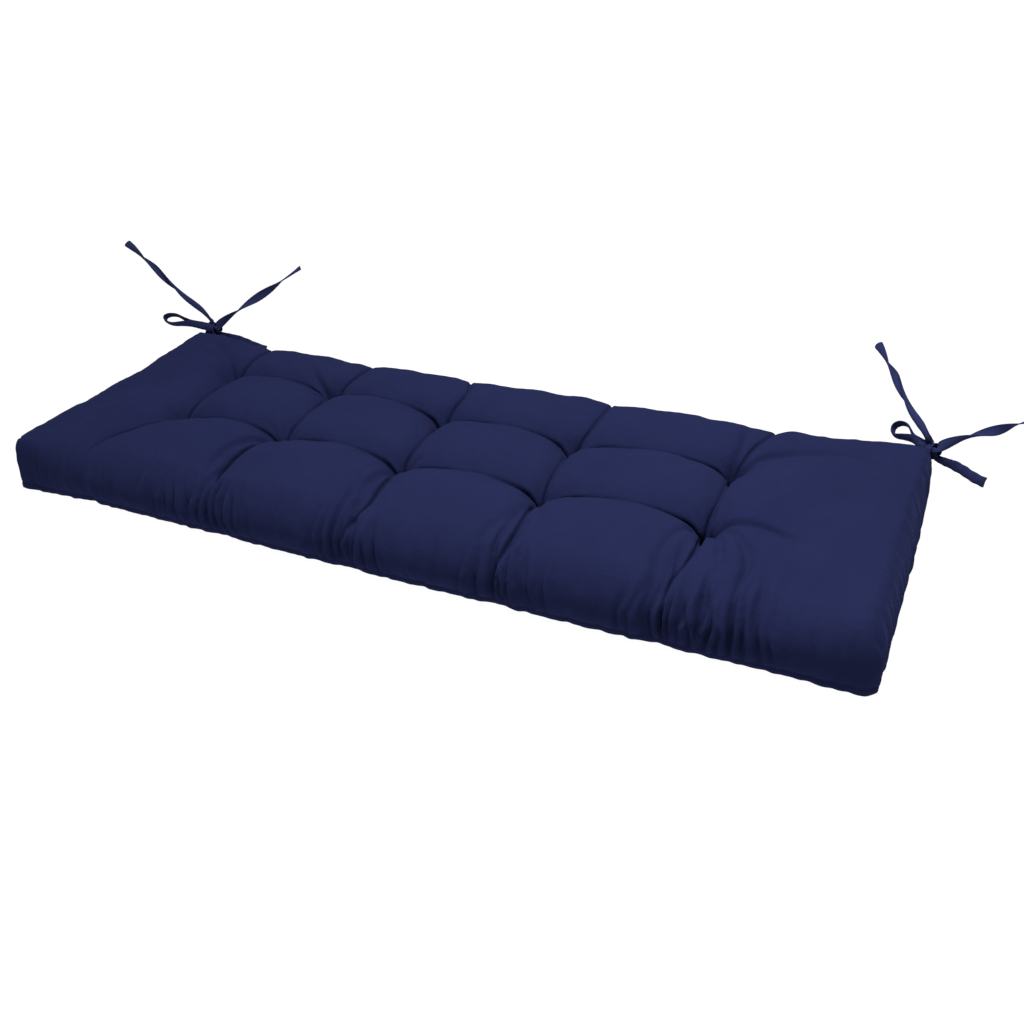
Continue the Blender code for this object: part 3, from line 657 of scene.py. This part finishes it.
def dart_seams(x, y, up_end):
    """The furrow of the seam in each corner's end, which fades towards its top."""
    beside = np.exp(-(((HALF - abs(y) - DART_SEAM_OFF) / DART_SEAM_REACH) ** 2))
    on_end = (LENGTH / 2 - abs(x) < DART_SEAM_ZONE) & (up_end < DART_SEAM_RISE)
    return np.where(on_end, DART_SEAM_DEPTH * beside * np.clip(4 * (1 - up_end / DART_SEAM_RISE), 0, 1), 0)


def folded_cloth(flat, points):
    x, y, z = flat.T
    _, sharp = crease_depths(x, y)
    above_seam = np.clip((z - SEAM_HEIGHT) / (SIDE_TOP - SEAM_HEIGHT), 0, 1)
    push = (uneven(*points.T) + puckers(x, y) - sharp) * above_seam
    front, back = up_from_seam(y + HALF, z, FRONT_ROLL), up_from_seam(HALF - y, z, BACK_ROLL)
    left, right = up_from_seam(x + LENGTH / 2, z, LEFT_ROLL), up_from_seam(LENGTH / 2 - x, z, RIGHT_ROLL)
    above = z > SEAM_HEIGHT
    push -= np.where(above, dart_seams(x, y, np.where(x > 0, right, left)), 0)
    # Each edge: its folds, the place along it, the way up from its seam and where its folds end
    edges = ((front_folds, x, front, 0.17), (back_folds, x, back, 0.12),
             (end_folds[0], y, left, 0.10), (end_folds[1], y, right, 0.10))
    for folds, along, up, highest in edges:
        push += np.where(above & (up < highest), climbing_folds(folds, along, up), 0)
    return points + direction * push[:, None]


cloth_points = folded_cloth(net, form)
print("deepest fold in mm:", round(1000 * float(np.linalg.norm(cloth_points - form, axis=1).max()), 1))

# %% [markdown]
# ## Make the cushion
#
# The points and faces become one closed mesh. It rests on the flat of its underside, and it
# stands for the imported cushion, which stays for collision only.

# %% Build the cushion's mesh
def mesh_object(name, points, faces):
    mesh = bpy.data.meshes.new(name)
    mesh.from_pydata([tuple(p) for p in points], [], [tuple(int(v) for v in f) for f in faces])
    mesh.validate()
    mesh.shade_smooth()
    piece = bpy.data.objects.new(name, mesh)
    bpy.context.scene.collection.objects.link(piece)
    return piece


cushion = mesh_object("tufted_cushion", cloth_points, [*net_faces.tolist(), *ring_faces])
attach(cushion, "root")
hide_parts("cushion")
print("cushion triangles:", sum(len(face.vertices) - 2 for face in cushion.data.polygons))

# %% [markdown]
# ## The ties
#
# Each back corner has two flat straps, about 15 mm wide, folded lengthwise and sewn shut. They
# are tied in a bow: one loop stands open, the other is pressed flat, and two long free ends
# twist outwards. A curve with a bevel keeps one section from end to end, but real straps are
# squeezed into a trough at the knot and open out again further on. So a strip is swept here:
# its width keeps 15 mm of cloth, and a curl says how far that width is rolled up.

# %% Sweep a strip of strap along a path
STRAP_WIDTH, STRAP_THICKNESS, PARTS_ACROSS = 0.0150, 0.0015, 10
LEAST_CURL, RIDGES_ACROSS = 0.02, 7
HEM_LENGTH, HEM_THICKNESS, EDGE_THINNING = 0.007, 1.7, 0.45
UP = np.array([0.0, 0.0, 1.0])


def unit(vector):
    vector = np.asarray(vector, float)
    return vector / np.linalg.norm(vector, axis=-1, keepdims=True)


def turned(vectors, axes, angles):
    """Each vector turned round its own axis."""
    angles = np.reshape(angles, (-1, 1))
    along = axes * (axes * vectors).sum(1, keepdims=True)
    return vectors * np.cos(angles) + np.cross(axes, vectors) * np.sin(angles) + along * (1 - np.cos(angles))


def along_path(path):
    """The length of a path up to each of its points."""
    return np.concatenate([[0], np.cumsum(np.linalg.norm(np.diff(path, axis=0), axis=1))])


def strip(path, across, curls, gather=0.0, width=STRAP_WIDTH, hem=False):
    """Points, faces and cloth places of a two-faced strip; gather is the height of its ridges."""
    ahead = unit(np.gradient(path, axis=0))
    across = unit(across - ahead * (ahead * across).sum(1, keepdims=True))
    out = np.cross(ahead, across)
    share = np.linspace(-0.5, 0.5, PARTS_ACROSS + 1)
    curls = np.clip(np.broadcast_to(curls, len(path)), LEAST_CURL, None)[:, None]
    angle, radius = curls * share, width / curls
    ridge = np.broadcast_to(gather, len(path))[:, None] * np.cos(share * RIDGES_ACROSS * math.pi)
    side = (radius * np.sin(angle))[..., None] * across[:, None]
    bend = (radius * (np.cos(curls / 4) - np.cos(angle)))[..., None] * out[:, None]
    facing = np.cos(angle)[..., None] * out[:, None] - np.sin(angle)[..., None] * across[:, None]
    middle = path[:, None] + side + bend + facing * ridge[..., None]
    length = along_path(path)
    in_hem = (length > length[-1] - HEM_LENGTH)[:, None] & hem
    thick = np.where(in_hem, HEM_THICKNESS, 1.0) * (1 - EDGE_THINNING * abs(2 * share) ** 8)
    half = facing * (thick * STRAP_THICKNESS / 2)[..., None]
    points = np.concatenate([middle + half, (middle - half)[:, ::-1]], axis=1)
    places = np.stack(np.broadcast_arrays(np.concatenate([share, share[::-1]]) * width, length[:, None]), -1)
    count, ring = points.shape[:2]
    index = np.arange(count * ring).reshape(count, ring)
    beside = np.roll(index, -1, axis=1)
    faces = np.stack([index[:-1], beside[:-1], beside[1:], index[1:]], -1).reshape(-1, 4).tolist()
    faces += [index[0][::-1].tolist(), index[-1].tolist()]
    return points.reshape(-1, 3), faces, places.reshape(-1, 2), length[-1]


test_path = np.linspace([0, 0, 0], [0.1, 0, 0], 20)
print("points of a plain strip of 100 mm:", len(strip(test_path, np.tile([0.0, 1.0, 0.0], (20, 1)), 0)[0]))

# %% [markdown]
# ## The parts of a tie
#
# A free end leaves the knot rolled up, opens out and turns over as it goes. It ends in a square
# hem. The open loop runs out and back on its edge, and the pressed loop is two layers with a
# fold. The turns are read off the photograph: where a strap looks thinnest, it is edge-on.

# %% A free end of a strap
def leaning(ahead, lean_deg):
    """Across-directions of a strip that lean from the level by an angle round the path."""
    return turned(unit(np.cross(ahead, UP)), ahead, np.radians(lean_deg))


def twisted_end(start, leaving, end, edge_on, roll_up):
    """A free end from the knot: bowed, opening out from a roll, and turning over between two
    shares of its length where it is seen edge-on, the first at a lean in degrees. The last
    value of the row slows it after the second, and the roll says how far its edges curl in."""
    reach = np.linalg.norm(end - start)
    bend, middle = start + leaving * reach * 0.10, start + (end - start) * 0.55 + leaving * reach * 0.04
    path = smooth_line([start, bend, middle, end], 24)
    t = along_path(path) / along_path(path)[-1]
    first, second, lean, slower = edge_on
    turns = (np.minimum(t, second) - first + slower * np.clip(t - second, 0, None)) / (second - first)
    across = leaning(unit(np.gradient(path, axis=0)), lean + 180 * turns)
    curl = roll_up - t**2 + 0.5 * np.exp(-t / 0.05)
    return strip(path, across, curl, gather=0.0008 * np.exp(-t / 0.10), hem=True)


test_end = twisted_end(np.zeros(3), UP, np.array([0.2, 0, 0.1]), (0.4, 0.8, 50, 1), 1.2)
print("cloth length of a free end that reaches 224 mm:", round(1000 * test_end[3]))


# %% The two loops
# Along the open loop: how far out each place is, and what share of the opening it has
LOOP_STATIONS = ((0.02, 0.10), (0.20, 0.16), (0.42, 0.22), (0.60, 0.62), (0.78, 1.00), (0.92, 0.80), (0.99, 0.32))
PRESSED_HALF_GAP, PRESSED_WAVE = 0.0012, 0.0022


def loop_lean(leans, out):
    """The lean of the open loop's cloth, from the first at the knot to the second further out."""
    return leans[1] + (leans[0] - leans[1]) * np.cos(math.pi / 2 * np.clip(out / 0.85, 0, 1)) ** 2


def open_loop(knot, tip, half_opening, leans):
    """Both halves lie side by side at the knot, then turn on edge and open round a hole."""
    along, reach = unit(tip - knot), np.linalg.norm(tip - knot)
    halves = [[], []]
    for out, off in LOOP_STATIONS:
        opening = np.cross(leaning(along[None], loop_lean(leans, out))[0], along)
        for half, sign in zip(halves, (1, -1)):
            half.append(knot + along * reach * out + sign * opening * half_opening * off)
    path = smooth_line([*halves[0], knot + along * reach, *halves[1][::-1]], 8)
    out = np.clip((path - knot) @ along / reach, 0, 1)
    across = leaning(np.broadcast_to(along, path.shape), loop_lean(leans, out))
    at_knot = np.exp(-out / 0.16)
    return strip(path, across, 1.2 + 0.5 * at_knot, gather=0.0009 * at_knot)


def pressed_loop(start, tip, leans):
    """Two layers of strap with a fold at the tip, squeezed to a neck at the knot."""
    along, reach = unit(tip - start), np.linalg.norm(tip - start)
    shares = np.array([0, 0.12, 0.26, 0.42, 0.6, 0.8, 0.985])
    lean = leans[0] + (leans[1] - leans[0]) * np.clip(shares / 0.5, 0, 1)
    apart = np.cross(leaning(np.broadcast_to(along, (len(shares), 3)), lean), along)
    middle = start + along * reach * shares[:, None] + apart * PRESSED_WAVE * np.sin(shares * 9)[:, None]
    layers = [middle + apart * PRESSED_HALF_GAP, middle - apart * PRESSED_HALF_GAP]
    path = smooth_line([*layers[0], start + along * reach, *layers[1][::-1]], 8)
    out = np.clip((path - start) @ along / reach, 0, 1)
    lean = leans[0] + (leans[1] - leans[0]) * np.clip(out / 0.5, 0, 1)
    across = leaning(np.broadcast_to(along, path.shape), lean)
    curl = 0.4 + 2.2 * np.exp(-out / 0.14) + 0.8 * np.cos(out * 17) ** 2
    return strip(path, across, curl, gather=0.0006 * np.exp(-out / 0.2))


test_loop = pressed_loop(np.zeros(3), np.array([0.1, 0, 0]), (120, 70))
print("cloth length of a pressed loop of 100 mm:", round(1000 * test_loop[3]))


# %% The short roots, and the knot
ROLLED_UP, KNOT_GATHER = 3.2, 0.0008
BAND_TURNS, BAND_RADIUS, BAND_GROWTH, BAND_SLANT, BAND_CURL, BAND_WIDTH = 1.12, 0.0086, 0.0010, 0.004, 1.7, 0.0165
CORE_HALF_LENGTH, CORE_CURL, CORE_WIDTH = 0.0155, 5.2, 0.034


def root(start, first_step, seam, right):
    """The short length between the knot and the cushion's seam, rolled up all the way."""
    path = smooth_line([start, start + first_step, seam], 10)
    return strip(path, np.broadcast_to(right, path.shape), ROLLED_UP, gather=0.0006)


def wrapped_band(knot, right, back):
    """The strap that goes once round the knot, with its end lapped over its start."""
    t = np.linspace(0, BAND_TURNS, 58)[:, None]
    turn = 2 * math.pi * t
    round_x = back * np.sin(turn) - UP * np.cos(turn)
    path = knot + round_x * (BAND_RADIUS + BAND_GROWTH * t) + right * (BAND_SLANT * (t - 0.5))
    return strip(path, np.broadcast_to(right, path.shape), BAND_CURL, gather=KNOT_GATHER, width=BAND_WIDTH)


def bunched_core(knot, right, back):
    """The cloth inside the knot: a roll along the bow, ridged where it is squeezed."""
    path = knot + right * CORE_HALF_LENGTH * np.linspace(-1, 1, 40)[:, None]
    return strip(path, np.broadcast_to(back, path.shape), CORE_CURL, gather=KNOT_GATHER, width=CORE_WIDTH)


print("cloth length of one turn of the band in mm:", round(1000 * 2 * math.pi * BAND_RADIUS))

# %% [markdown]
# ## Tie the bows
#
# One table gives each tie: the knot's place, and where the ends of its loops and free ends lie
# from there. Each strap is one cloth piece. It stands for one packed strap, which has the same
# parts.

# %% Tie both bows
# An edge-on row: the two shares of a free end where it is seen edge-on, the first one's lean,
# and how quickly it turns after the second
TIES = {
    "left": dict(
        side=-1, heading=-7, knot=(-0.6315, 0.252, 0.086),
        open_loop=(-0.108, -0.007, 0.010), half_opening=0.0105, open_leans=(118, 50),
        pressed_loop=(0.124, -0.014, -0.020), pressed_leans=(120, 70),
        rising_end=(-0.202, 0.035, 0.131), rising_edge_on=(0.43, 0.81, 51, 1.0),
        falling_end=(0.139, 0.103, 0.095), falling_edge_on=(0.29, 0.79, 164, 0.3),
    ),
    "right": dict(
        side=1, heading=-30, knot=(0.631, 0.245, 0.073),
        open_loop=(-0.056, 0.046, 0.004), half_opening=0.0120, open_leans=(120, 50),
        pressed_loop=(0.078, -0.038, -0.017), pressed_leans=(125, 80),
        rising_end=(-0.114, 0.206, 0.057), rising_edge_on=(0.40, 0.79, 60, 0.8),
        falling_end=(0.149, 0.147, 0.009), falling_edge_on=(0.30, 0.70, 144, 0.5),
    ),
}
ROOT_FROM_END, ROOT_FROM_BACK, ROOT_HEIGHT, ROOT_HALF_SPACING = 0.019, 0.012, 0.052, 0.007
FALLING_ROLL, RISING_ROLL = 1.2, 3.0


def strap_piece(name, node, strips):
    """One object from its strips, with the places on the cloth kept as its map."""
    points, faces, places, start = [], [], [], 0
    for strip_points, strip_faces, strip_places, _ in strips:
        faces += [[corner + start for corner in face] for face in strip_faces]
        points.append(strip_points)
        places.append(strip_places)
        start += len(strip_points)
    places = np.concatenate(places)
    strap = mesh_object(name, np.concatenate(points), faces)
    cloth_map = strap.data.uv_layers.new(name="cloth_map")
    corners = np.array([loop.vertex_index for loop in strap.data.loops])
    cloth_map.data.foreach_set("uv", places[corners].ravel())
    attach(strap, "root")
    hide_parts(node)
    return strap


def tie_bow(name, tie):
    """Both straps of one corner, from the seam to their free ends."""
    heading = math.radians(tie["heading"])
    right = np.array([math.cos(heading), math.sin(heading), 0])
    back = np.cross(UP, right)
    knot = np.array(tie["knot"])
    end = {key: knot + tie[key] for key in ("open_loop", "pressed_loop", "rising_end", "falling_end")}
    corner_x = tie["side"] * (LENGTH / 2 - ROOT_FROM_END) - OUT_OF_SQUARE * (tie["side"] > 0)
    corner = np.array([corner_x, HALF - ROOT_FROM_BACK, ROOT_HEIGHT])
    core_end, below, off = knot - right * 0.0105, knot - UP * 0.0078, np.array([ROOT_HALF_SPACING, 0, 0])
    leaving_right, leaving_left = unit(right + UP * 1.2 + back * 0.5), unit(UP - right)
    inner = strap_piece(f"{name}_strap_inner", f"{name}_tie_inner", [
        bunched_core(knot, right, back),
        root(core_end, -back * 0.005 - UP * 0.008, corner - off, right),
        open_loop(knot - right * 0.002, end["open_loop"], tie["half_opening"], tie["open_leans"]),
        twisted_end(knot + right * 0.009, leaving_right, end["falling_end"], tie["falling_edge_on"], FALLING_ROLL),
    ])
    outer = strap_piece(f"{name}_strap_outer", f"{name}_tie_outer", [
        wrapped_band(knot, right, back),
        root(below, -back * 0.004 - UP * 0.006, corner + off, right),
        pressed_loop(knot + back * 0.003 - UP * 0.0080, end["pressed_loop"], tie["pressed_leans"]),
        twisted_end(knot + UP * 0.0078, leaving_left, end["rising_end"], tie["rising_edge_on"], RISING_ROLL),
    ])
    return [inner, outer]


straps = [strap for name, tie in TIES.items() for strap in tie_bow(name, tie)]

# %% [markdown]
# ## The camera and the light
#
# The camera looks down at the long front edge from the right, with no lens shift. Three lights
# shape the cloth. A broad, even one overhead fills the creases. A soft box hangs over the right
# half, near enough for the left end to fall darker. A low, harder light from the left runs
# across the gathers: it is weak, but without it the folds at the front edge hardly show. The
# floor and a low wall round it are almost white by themselves, so no lamp has to bleach them.

# %% Camera at the photograph's angle
AZIMUTH, ELEVATION, ROLL = (math.radians(a) for a in (27.743, 31.845, -3.725))
DISTANCE, LENS, AIM = 1.6044, 38.951, Vector((0.1003, -0.0082, 0.0))


def photo_camera():
    level_reach = math.cos(ELEVATION)
    back = Vector((math.sin(AZIMUTH) * level_reach, -math.cos(AZIMUTH) * level_reach, math.sin(ELEVATION)))
    level = Vector((math.cos(AZIMUTH), math.sin(AZIMUTH), 0))
    upright = back.cross(level)
    right = level * math.cos(ROLL) + upright * math.sin(ROLL)
    up = upright * math.cos(ROLL) - level * math.sin(ROLL)
    lens = bpy.data.cameras.new("photo_camera")
    lens.sensor_width, lens.lens = 36, LENS
    camera = bpy.data.objects.new("photo_camera", lens)
    bpy.context.scene.collection.objects.link(camera)
    turn = Matrix((right, up, back)).transposed().to_4x4()
    camera.matrix_world = Matrix.Translation(AIM + back * DISTANCE) @ turn
    bpy.context.scene.camera = camera
    return camera


camera = photo_camera()
print("camera at", [round(v, 3) for v in camera.matrix_world.translation])

# %% Soft studio light
def soft_light(name, place, aim, side, power):
    """A square soft box that hangs at a place and points at an aim."""
    lamp = bpy.data.lights.new(name, "AREA")
    lamp.size, lamp.energy = side, power
    light = bpy.data.objects.new(name, lamp)
    light.location = place
    light.rotation_euler = (Vector(aim) - Vector(place)).to_track_quat("-Z", "Y").to_euler()
    bpy.context.scene.collection.objects.link(light)
    return light


def sky_light(name, tilt_deg, turn_deg, spread_deg, strength):
    """A broad, even light: tilted away from straight down, towards a turn round the cushion."""
    lamp = bpy.data.lights.new(name, "SUN")
    lamp.angle, lamp.energy = math.radians(spread_deg), strength
    light = bpy.data.objects.new(name, lamp)
    light.rotation_euler = (math.radians(tilt_deg), 0, math.radians(turn_deg))
    bpy.context.scene.collection.objects.link(light)
    return light


sky_light("overhead_light", 6, 100, 50, 1.2)
sky_light("side_light", 52, -98, 22, 1.0)
soft_light("key_light", (0.42, -0.22, 1.75), (0.36, 0.02, 0), 0.6, 38)

world = bpy.data.worlds.new("studio")
bpy.context.scene.world = world
world.use_nodes = True
world.node_tree.nodes["Background"].inputs["Color"].default_value = (1, 1, 1, 1)
world.node_tree.nodes["Background"].inputs["Strength"].default_value = 0.06
bpy.context.scene.view_settings.view_transform = "Standard"

# %% A pale floor and a low wall round it
FLOOR_SIZE, FLOOR_DROP = 40, 0.0005
WALL_RADIUS, WALL_HEIGHT, WALL_MIDDLE = 19.5, 3.2, 1.55


def set_surface(material, settings):
    """Set values on the sockets of the material's own surface shader."""
    material.use_nodes = True
    for name, value in settings.items():
        material.node_tree.nodes["Principled BSDF"].inputs[name].default_value = value


bpy.ops.mesh.primitive_plane_add(size=FLOOR_SIZE, location=(0, 0, -FLOOR_DROP))
floor = bpy.context.object
floor.name = "studio_floor"
bpy.ops.mesh.primitive_cylinder_add(
    vertices=96, radius=WALL_RADIUS, depth=WALL_HEIGHT, end_fill_type="NOTHING", location=(0, 0, WALL_MIDDLE))
backdrop = bpy.context.object
backdrop.name = "studio_backdrop"
floor_paint = bpy.data.materials.new("studio_floor")
set_surface(floor_paint, {
    "Base Color": (0.03, 0.03, 0.03, 1), "Roughness": 0.9,
    "Emission Color": (1, 1, 1, 1), "Emission Strength": 0.985,
})
for piece in (floor, backdrop):
    piece.data.materials.append(floor_paint)
print("floor across in m:", FLOOR_SIZE, "wall height in m:", WALL_HEIGHT)

# %% [markdown]
# ## The cushion's cloth
#
# The cover is plain navy polyester with a smooth, slightly peached face. A photograph laid on it
# would fix the weave to one view, so the cloth is made from patterns measured in metres: crossed
# threads a little under a millimetre apart, thick and thin places in the yarn, fine wrinkles that
# run every way, and slow changes of shade where the cloth has been handled. The threads are far
# too small for the mesh, so they only tilt the light.

# %% Helpers that add one pattern or one bump
def link_pattern(material, kind, coordinates, **settings):
    """One pattern node on the given coordinates, with its sockets and settings."""
    node = material.node_tree.nodes.new(kind)
    for name, value in settings.items():
        if name in node.inputs:
            node.inputs[name].default_value = value
        else:
            setattr(node, name, value)
    material.node_tree.links.new(coordinates, node.inputs["Vector"])
    return node.outputs[0]


def joined(material, operation, first, second=0):
    """One step of arithmetic on one or two patterns or numbers."""
    node = material.node_tree.nodes.new("ShaderNodeMath")
    node.operation = operation
    for socket, value in zip(node.inputs, (first, second)):
        if isinstance(value, (int, float)):
            socket.default_value = value
        else:
            material.node_tree.links.new(value, socket)
    return node.outputs[0]


def raised(material, height, distance, strength, below=None):
    """A bump of this height pattern, on top of the one below it."""
    node = material.node_tree.nodes.new("ShaderNodeBump")
    node.inputs["Distance"].default_value = distance
    node.inputs["Strength"].default_value = strength
    material.node_tree.links.new(height, node.inputs["Height"])
    if below is not None:
        material.node_tree.links.new(below, node.inputs["Normal"])
    return node.outputs["Normal"]


def faded_between(material, amount, first, second):
    """A colour between two, each a colour or a pattern, by an amount."""
    node = material.node_tree.nodes.new("ShaderNodeMix")
    node.data_type = "RGBA"
    material.node_tree.links.new(amount, node.inputs["Factor"])
    for socket, value in zip((node.inputs["A"], node.inputs["B"]), (first, second)):
        if isinstance(value, tuple):
            socket.default_value = (*value, 1)
        else:
            material.node_tree.links.new(value, socket)
    return node.outputs["Result"]


def places_on(material, place):
    """Where the patterns are measured: the place itself and its parts X, Y and Z."""
    spot = material.node_tree.nodes.new("ShaderNodeTexCoord").outputs[place]
    parts = material.node_tree.nodes.new("ShaderNodeSeparateXYZ")
    material.node_tree.links.new(spot, parts.inputs[0])
    return spot, parts.outputs


print("pattern helpers:", [helper.__name__ for helper in (link_pattern, joined, raised, faded_between, places_on)])


# %% Weave the cushion's cloth
def woven_cloth(name, dark, light, threads, place):
    """Navy cloth: the place is where its patterns are measured, on the piece or on the flat cloth."""
    material = bpy.data.materials.new(name)
    set_surface(material, {
        "Roughness": 0.78, "Specular IOR Level": 0.0,
        "Sheen Weight": 0.10, "Sheen Roughness": 0.45, "Sheen Tint": (0.16, 0.19, 0.50, 1),
    })
    links, surface = material.node_tree.links, material.node_tree.nodes["Principled BSDF"]
    spot, parts = places_on(material, place)
    weft_place = joined(material, "ADD", parts["Y"], parts["Z"])
    warp = joined(material, "SINE", joined(material, "MULTIPLY", parts["X"], threads))
    weft = joined(material, "SINE", joined(material, "MULTIPLY", weft_place, threads))
    slubs = link_pattern(material, "ShaderNodeTexNoise", spot, Scale=900, Detail=2)
    crossed = joined(material, "MULTIPLY", warp, weft)
    weave = joined(material, "ADD", crossed, joined(material, "MULTIPLY", slubs, 3))
    wrinkles = link_pattern(
        material, "ShaderNodeTexNoise", spot, Scale=34, Detail=5, Roughness=0.55, Distortion=0.8)
    creasing = link_pattern(material, "ShaderNodeTexNoise", spot, Scale=120, Detail=3, Distortion=1.5)
    normal = raised(material, wrinkles, 0.0040, 0.55)
    normal = raised(material, creasing, 0.0008, 0.45, normal)
    normal = raised(material, weave, 0.00006, 0.6, normal)
    links.new(normal, surface.inputs["Normal"])
    shade = link_pattern(material, "ShaderNodeTexNoise", spot, Scale=11, Detail=4, Roughness=0.6)
    yarn = link_pattern(material, "ShaderNodeTexNoise", spot, Scale=420, Detail=3, Roughness=0.7)
    handled, uneven_yarn = joined(material, "MULTIPLY", shade, 0.55), joined(material, "MULTIPLY", yarn, 0.45)
    amount = joined(material, "ADD", handled, uneven_yarn)
    links.new(faded_between(material, amount, dark, light), surface.inputs["Base Color"])
    return material


cushion_cloth = woven_cloth("cushion_cloth", (0.0089, 0.0111, 0.0388), (0.0145, 0.0180, 0.0584), 7400, "Object")
cushion.data.materials.append(cushion_cloth)
print("cushion cloth nodes:", len(cushion_cloth.node_tree.nodes))

# %% [markdown]
# ## The straps' cloth
#
# The straps are folded to 15 mm and sewn close to both long edges. They look a little lighter
# than the cushion, so they have a colour of their own. Their patterns lie on the flat strap, so
# that the weave and the stitches follow every twist. The stitches are short dashes of darker
# thread that stand a little proud beside the edge.

# %% Strap cloth with its sewn edges
STITCH_LINE, STITCH_PITCH, STITCH_SHARE = 0.0055, 0.0028, 0.66
THREAD_HALF_WIDTH, THREAD_BLUE = 0.00042, (0.0100, 0.0125, 0.0430)


def sewn_edges(material):
    """A row of stitches beside both edges of the strap, in colour and in relief."""
    links, surface = material.node_tree.links, material.node_tree.nodes["Principled BSDF"]
    _, parts = places_on(material, "UV")
    from_line = joined(material, "SUBTRACT", joined(material, "ABSOLUTE", parts["X"]), STITCH_LINE)
    on_line = joined(material, "LESS_THAN", joined(material, "ABSOLUTE", from_line), THREAD_HALF_WIDTH)
    along = joined(material, "FRACT", joined(material, "DIVIDE", parts["Y"], STITCH_PITCH))
    thread = joined(material, "MULTIPLY", on_line, joined(material, "LESS_THAN", along, STITCH_SHARE))
    base = surface.inputs["Base Color"].links[0].from_socket
    links.new(faded_between(material, thread, base, THREAD_BLUE), surface.inputs["Base Color"])
    below = surface.inputs["Normal"].links[0].from_socket
    links.new(raised(material, thread, 0.0004, 0.7, below), surface.inputs["Normal"])


strap_cloth = woven_cloth("strap_cloth", (0.0135, 0.0170, 0.0560), (0.0235, 0.0292, 0.0890), 6200, "UV")
sewn_edges(strap_cloth)
for strap in straps:
    strap.data.materials.append(strap_cloth)
print("strap cloth nodes:", len(strap_cloth.node_tree.nodes))
